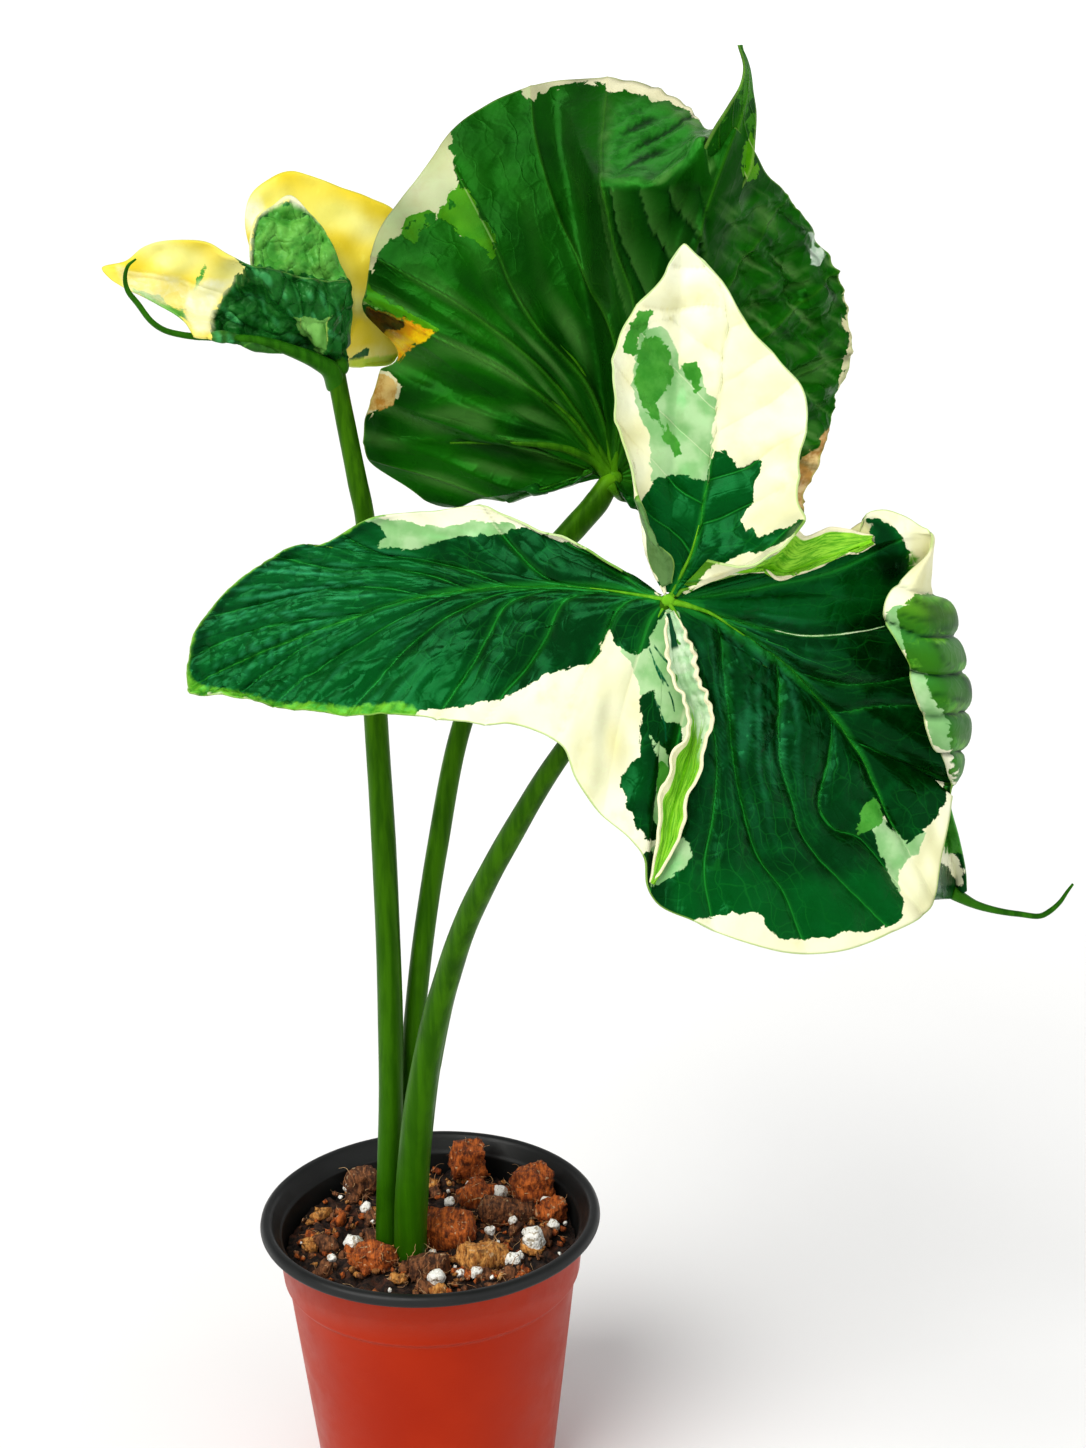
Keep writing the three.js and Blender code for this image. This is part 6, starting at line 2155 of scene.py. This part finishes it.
class SoilTop:
    """What lies on the soil: husk chips, crumbs, perlite grains and fibres, from one seed."""

    def __init__(self):
        self.rng = np.random.default_rng(61)
        self.husks, self.grains, self.fibres = Heap(), Heap(), Heap()

    def spot(self, reach):
        """A place within a radius, clear of the stalks."""
        while True:
            angle = self.rng.uniform(0, 2 * math.pi)
            radius = reach * math.sqrt(self.rng.uniform())
            x, y = radius * math.cos(angle), radius * math.sin(angle)
            if stalk_room(x, y) > 1.0:
                return x, y

    def lump(self, size, cuts, rough, round_share):
        return lump(size, cuts, rough, int(self.rng.integers(9999)), round_share)

    def fibre(self, start, heading, length, radius, bend):
        line, faces = strand(start, heading, length, radius, bend, self.rng)
        if math.hypot(*line[-1][:2]) < FIBRE_REACH and line[:, 2].max() < POT_HEIGHT + 6:
            self.fibres.put(line, faces, self.rng.uniform())

    def chip(self, place, size, turn, tone, rough, fibres, sunk):
        """A coco chip, and the fibres that stand out of it."""
        points, faces = self.lump(size, 7 if max(size) > 9 else 3, rough, 0.35)
        points = turn_about(points, (*self.rng.uniform(-0.3, 0.3, 2), turn))
        centre = np.array(place) + [0, 0, size[2] * sunk]
        self.husks.put(points + centre, faces, tone)
        for _ in range(fibres):
            start = points[self.rng.integers(len(points))]
            heading = start / np.linalg.norm(start) + self.rng.normal(size=3) * 0.7
            heading[2] = abs(heading[2]) * 0.7
            length = self.rng.uniform(2.5, 6.5)
            self.fibre(start * 0.95 + centre, heading, length, self.rng.uniform(0.1, 0.2), 0.45)

    def loose_chip(self):
        x, y = self.spot(45)
        size = np.array([self.rng.uniform(*span) for span in ((3.5, 8), (2.5, 6), (2, 4.5))])
        turn = self.rng.uniform(0, 3)
        self.chip((x, y, SOIL_TOP), size, turn, self.rng.choice([0, 0.5, 0.5, 1.0]), 0.6, 3, 0.1)

    def crumb(self):
        x, y = self.spot(49)
        points, faces = self.lump(self.rng.uniform(0.8, 2.6, 3), 1, 0.3, 0.5)
        points = turn_about(points, self.rng.uniform(0, 3, 3))
        place = [x, y, SOIL_TOP + self.rng.uniform(-0.6, 0.8)]
        self.husks.put(points + place, faces, self.rng.uniform())

    def grain(self, x, y, width, lift):
        size = width * self.rng.uniform(0.75, 1.05, 3)
        points, faces = self.lump(size, 5 if width > 2.5 else 3, 0.16 * width ** 0.5, 0.85)
        points = turn_about(points, self.rng.uniform(0, 3, 3))
        self.grains.put(points + [x, y, SOIL_TOP + lift], faces, self.rng.uniform())

    def loose_fibre(self):
        x, y = self.spot(46)
        heading = self.rng.normal(size=3) * [1, 1, 0.25]
        start = (x, y, SOIL_TOP + self.rng.uniform(0.6, 1.6))
        self.fibre(start, heading, self.rng.uniform(4, 9), 0.12, 0.3)


def soil_top():
    top = SoilTop()
    for pixel, size, turn, tone in SHOWN_CHIPS:
        top.chip(soil_point(pixel, 0.62 * max(size)), size, turn, tone / 2, 0.9, 24, 0.2)
    for _ in range(LOOSE_CHIPS):
        top.loose_chip()
    for _ in range(CRUMBS):
        top.crumb()
    for pixel, width in SHOWN_GRAINS:
        x, y, _ = soil_point(pixel)
        top.grain(x, y, width, 0.35 * width)
    for _ in range(LOOSE_GRAINS):
        x, y = top.spot(48)
        top.grain(x, y, top.rng.uniform(1.0, 3.2), top.rng.uniform(0.2, 1.6))
    for _ in range(LOOSE_FIBRES):
        top.loose_fibre()
    top.husks.finish("soil_husk", husk())
    top.grains.finish("soil_perlite", perlite())
    top.fibres.finish("soil_fibres", fibre())


def dark_mix():
    n = Nodes("soil_dark")
    grit = n.noise(520, 5, 0.7)
    base = n.blend(n.ramp(grit, 0.42, 0.62), (0.008, 0.004, 0.003), (0.060, 0.028, 0.016))
    base = n.blend(n.ramp(n.noise(150, 3), 0.55, 0.72), base, (0.11, 0.035, 0.015))
    normal = n.bump(grit + n.noise(180, 3), 1.3 * MM, 1.0)
    return n.set(Base_Color=base, Roughness=0.85, Normal=normal)


def husk():
    """Coco husk: red, brown or gold by its tone, with long hairs, pits and pale flecks."""
    n = Nodes("husk")
    tone = n.field("tone")
    hair = n.noise(900, 4, 0.65, n.stretched((1, 0.25, 0.4)))
    hairy = n.ramp(hair, 0.35, 0.65)
    red = n.blend(hairy, (0.17, 0.034, 0.005), (0.60, 0.16, 0.025))
    brown = n.blend(hairy, (0.055, 0.020, 0.008), (0.30, 0.12, 0.045))
    gold = n.blend(hairy, (0.34, 0.12, 0.02), (0.72, 0.36, 0.10))
    base = n.blend(n.ramp(tone, 0.2, 0.45), red, brown)
    base = n.blend(n.ramp(tone, 0.7, 0.95), base, gold)
    pits = n.noise(330, 4, 0.6)
    base = n.blend(n.ramp(pits, 0.50, 0.34, 0.0, 0.7), base, (0.03, 0.010, 0.004))
    base = n.blend(n.ramp(n.noise(420, 3), 0.64, 0.70, 0.0, 0.7), base, (0.60, 0.44, 0.26))
    normal = n.bump(hair + pits * 1.4, 0.9 * MM, 1.0)
    return n.set(Base_Color=base, Roughness=0.82, Normal=normal)


def perlite():
    n = Nodes("perlite")
    speck = n.noise(700, 3, 0.6)
    base = n.blend(n.fade(speck, 0.36, 0.48), (0.86, 0.85, 0.80), (0.42, 0.36, 0.27))
    normal = n.bump(speck + n.cells(900), 0.5 * MM, 0.9)
    return n.set(Base_Color=base, Roughness=0.72, Normal=normal)


def fibre():
    n = Nodes("fibre")
    base = n.blend(n.field("tone"), (0.28, 0.10, 0.03), (0.62, 0.42, 0.22))
    return n.set(Base_Color=base, Roughness=0.7)


# The object
STALK_SHADES = (
    (0.020, 0.080, 0.001), (0.042, 0.135, 0.002), (0.030, 0.120, 0.001), (0.012, 0.055, 0.001),
)
STALK_TOP = (0.10, 0.27, 0.006)
SHOULDER_SHADES = (
    (0.018, 0.09, 0.002), (0.040, 0.15, 0.003), (0.085, 0.25, 0.005), (0.012, 0.07, 0.002),
)
TAIL_SHADES = (
    (0.012, 0.085, 0.003), (0.03, 0.15, 0.006), (0.03, 0.15, 0.006), (0.008, 0.06, 0.002),
)
HUB_SHADES = (
    (0.08, 0.29, 0.01), (0.15, 0.40, 0.02), (0.16, 0.42, 0.02), (0.05, 0.22, 0.008),
)
POT_RED = ((0.31, 0.019, 0.003), (0.35, 0.025, 0.004), (0.39, 0.05, 0.013))
POT_BLACK = ((0.010, 0.011, 0.011), (0.017, 0.018, 0.018), (0.045, 0.045, 0.044))


def front_leaf(tail):
    material = leaf_material("front_leaf", FRONT_LOOK)
    hub_material = stem_material("hub", HUB_SHADES)
    blade = front_blade(material)
    front_upper_lobe(material)
    for name, form, streaks, seed in (("crest_one", CREST_ONE, (0.38, 0.46, 0.17), 40),
                                      ("crest_two", CREST_TWO, (0.10, 0.16, 0.0), 50)):
        crest_pieces(name, blade, form, crest_material(name, *streaks), seed)
    heart_ribs("front_ribs", blade, FRONT_RIB_LINES, 0.2, hub_material, *FRONT)
    front_tip(blade, material)
    thread("front_tail", FRONT_TAIL, FRONT_TAIL_WIDTHS, tail, *FRONT)
    hub("front_hub", FRONT_HEART, (1.9, 1.1, 1.8), hub_material, *FRONT)


def back_leaf():
    material = leaf_material("back_leaf", BACK_LOOK)
    shoulder = stem_material("shoulder", SHOULDER_SHADES)
    heart_ribs("back_ribs", back_blade(material), BACK_RIB_LINES, -0.5, shoulder, *BACK)
    back_tail(material)
    hub("back_hub", BACK_HEART, (2.8, 2.6, 3.0), shoulder, *BACK)


def left_leaf(tail):
    material = leaf_material("left_leaf", LEFT_LOOK)
    left_face(material)
    left_upper(material)
    left_back(material)
    thread("left_keel", LEFT_KEEL, LEFT_KEEL_WIDTHS, tail, *LEFT, 20)
    thread("left_tail", LEFT_TAIL, LEFT_TAIL_WIDTHS, tail, *LEFT)
    hub("left_hub", LEFT_HEART, (3.0, 3.0, 3.4), tail, *LEFT)


def stalks():
    plain = stem_material("stalk", STALK_SHADES)
    topped = stem_material("stalk_middle", STALK_SHADES, STALK_TOP)
    stalk("stalk_left", LEFT_STALK, "petiole_left", (4.4, 0.5), plain)
    stalk("stalk_middle", MIDDLE_STALK, "petiole_middle", None, topped)
    stalk("stalk_right", RIGHT_STALK, "petiole_right", (3.4, 0.45), plain)


tail_material = stem_material("tail", TAIL_SHADES)
front_leaf(tail_material)
back_leaf()
left_leaf(tail_material)
stalks()
pot(plastic("pot_red", POT_RED, (1.0, 0.35, 0.2)), plastic("pot_black", POT_BLACK, (1.0, 1.0, 1.0)))
soil_bed(dark_mix())
soil_top()


# The stage: floor, lights and camera
FLOOR_REACH = 60.0


def floor():
    n = Nodes("floor")
    base = n.blend(n.ramp(n.noise(3, 2), 0.4, 0.6), (0.88, 0.88, 0.88), (0.89, 0.89, 0.89))
    mesh = bpy.data.meshes.new("floor")
    corners = [(FLOOR_REACH * x, FLOOR_REACH * y, 0) for x, y in ((-1, -1), (1, -1), (1, 1), (-1, 1))]
    mesh.from_pydata(corners, [], [(0, 1, 2, 3)])
    mesh.materials.append(n.set(Base_Color=base, Roughness=0.9))
    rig.stage(placed("floor", mesh))


def sun(name, place, power, spread, tint):
    """A soft lamp that shines from a place toward the middle."""
    lamp = bpy.data.lights.new(name, "SUN")
    lamp.energy = power
    lamp.angle = math.radians(spread)
    lamp.color = tint
    ahead = -np.array(place)
    ahead /= np.linalg.norm(ahead)
    side = np.cross(ahead, [0, 0, 1])
    side /= np.linalg.norm(side)
    set_axes(placed(name, lamp), place, side, np.cross(side, ahead), -ahead)


def set_axes(piece, place, *axes):
    matrix = piece.matrix_world.copy()
    for row in range(3):
        for column, axis in enumerate((*axes, place)):
            matrix[row][column] = axis[row]
    piece.matrix_world = matrix


def camera():
    lens = bpy.data.cameras.new("camera")
    lens.sensor_width = 36.0
    lens.lens = lens.sensor_width * FOCAL_PIXELS / PICTURE[1]
    lens.clip_start = 0.01
    lens.clip_end = 200.0
    piece = placed("camera", lens)
    set_axes(piece, EYE * MM, RIGHT, UP, -FORWARD)
    bpy.context.scene.camera = piece


def room():
    """A pale horizon under a dimmer ceiling."""
    world = bpy.data.worlds.new("studio")
    world.use_nodes = True
    tree = world.node_tree
    coordinates = tree.nodes.new("ShaderNodeTexCoord")
    split = tree.nodes.new("ShaderNodeSeparateXYZ")
    ceiling = tree.nodes.new("ShaderNodeMapRange")
    background = tree.nodes["Background"]
    tree.links.new(coordinates.outputs["Generated"], split.inputs[0])
    tree.links.new(split.outputs[2], ceiling.inputs[0])
    tree.links.new(ceiling.outputs[0], background.inputs["Strength"])
    for socket, value in zip(ceiling.inputs[1:5], (0.10, 0.40, 0.97, 0.36)):
        socket.default_value = value
    background.inputs["Color"].default_value = (1, 1, 1, 1)
    bpy.context.scene.world = world


def studio():
    """A soft room with two wide soft lamps."""
    room()
    sun("key", (-0.62, -0.70, 1.0), 2.3, 46, (1.0, 0.99, 0.96))
    sun("fill", (0.9, -0.9, 0.7), 0.6, 70, (0.97, 0.98, 1.0))
    bpy.context.scene.view_settings.view_transform = "Standard"
    bpy.context.scene.view_settings.look = "Medium High Contrast"


floor()
studio()
camera()

sizes = {
    "cad": [list(map(float, corner)) for corner in cad_box],
    "visual": [list(map(float, corner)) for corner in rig.bounds()],
}
with open("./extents.json", "w") as size_file:
    json.dump(sizes, size_file)
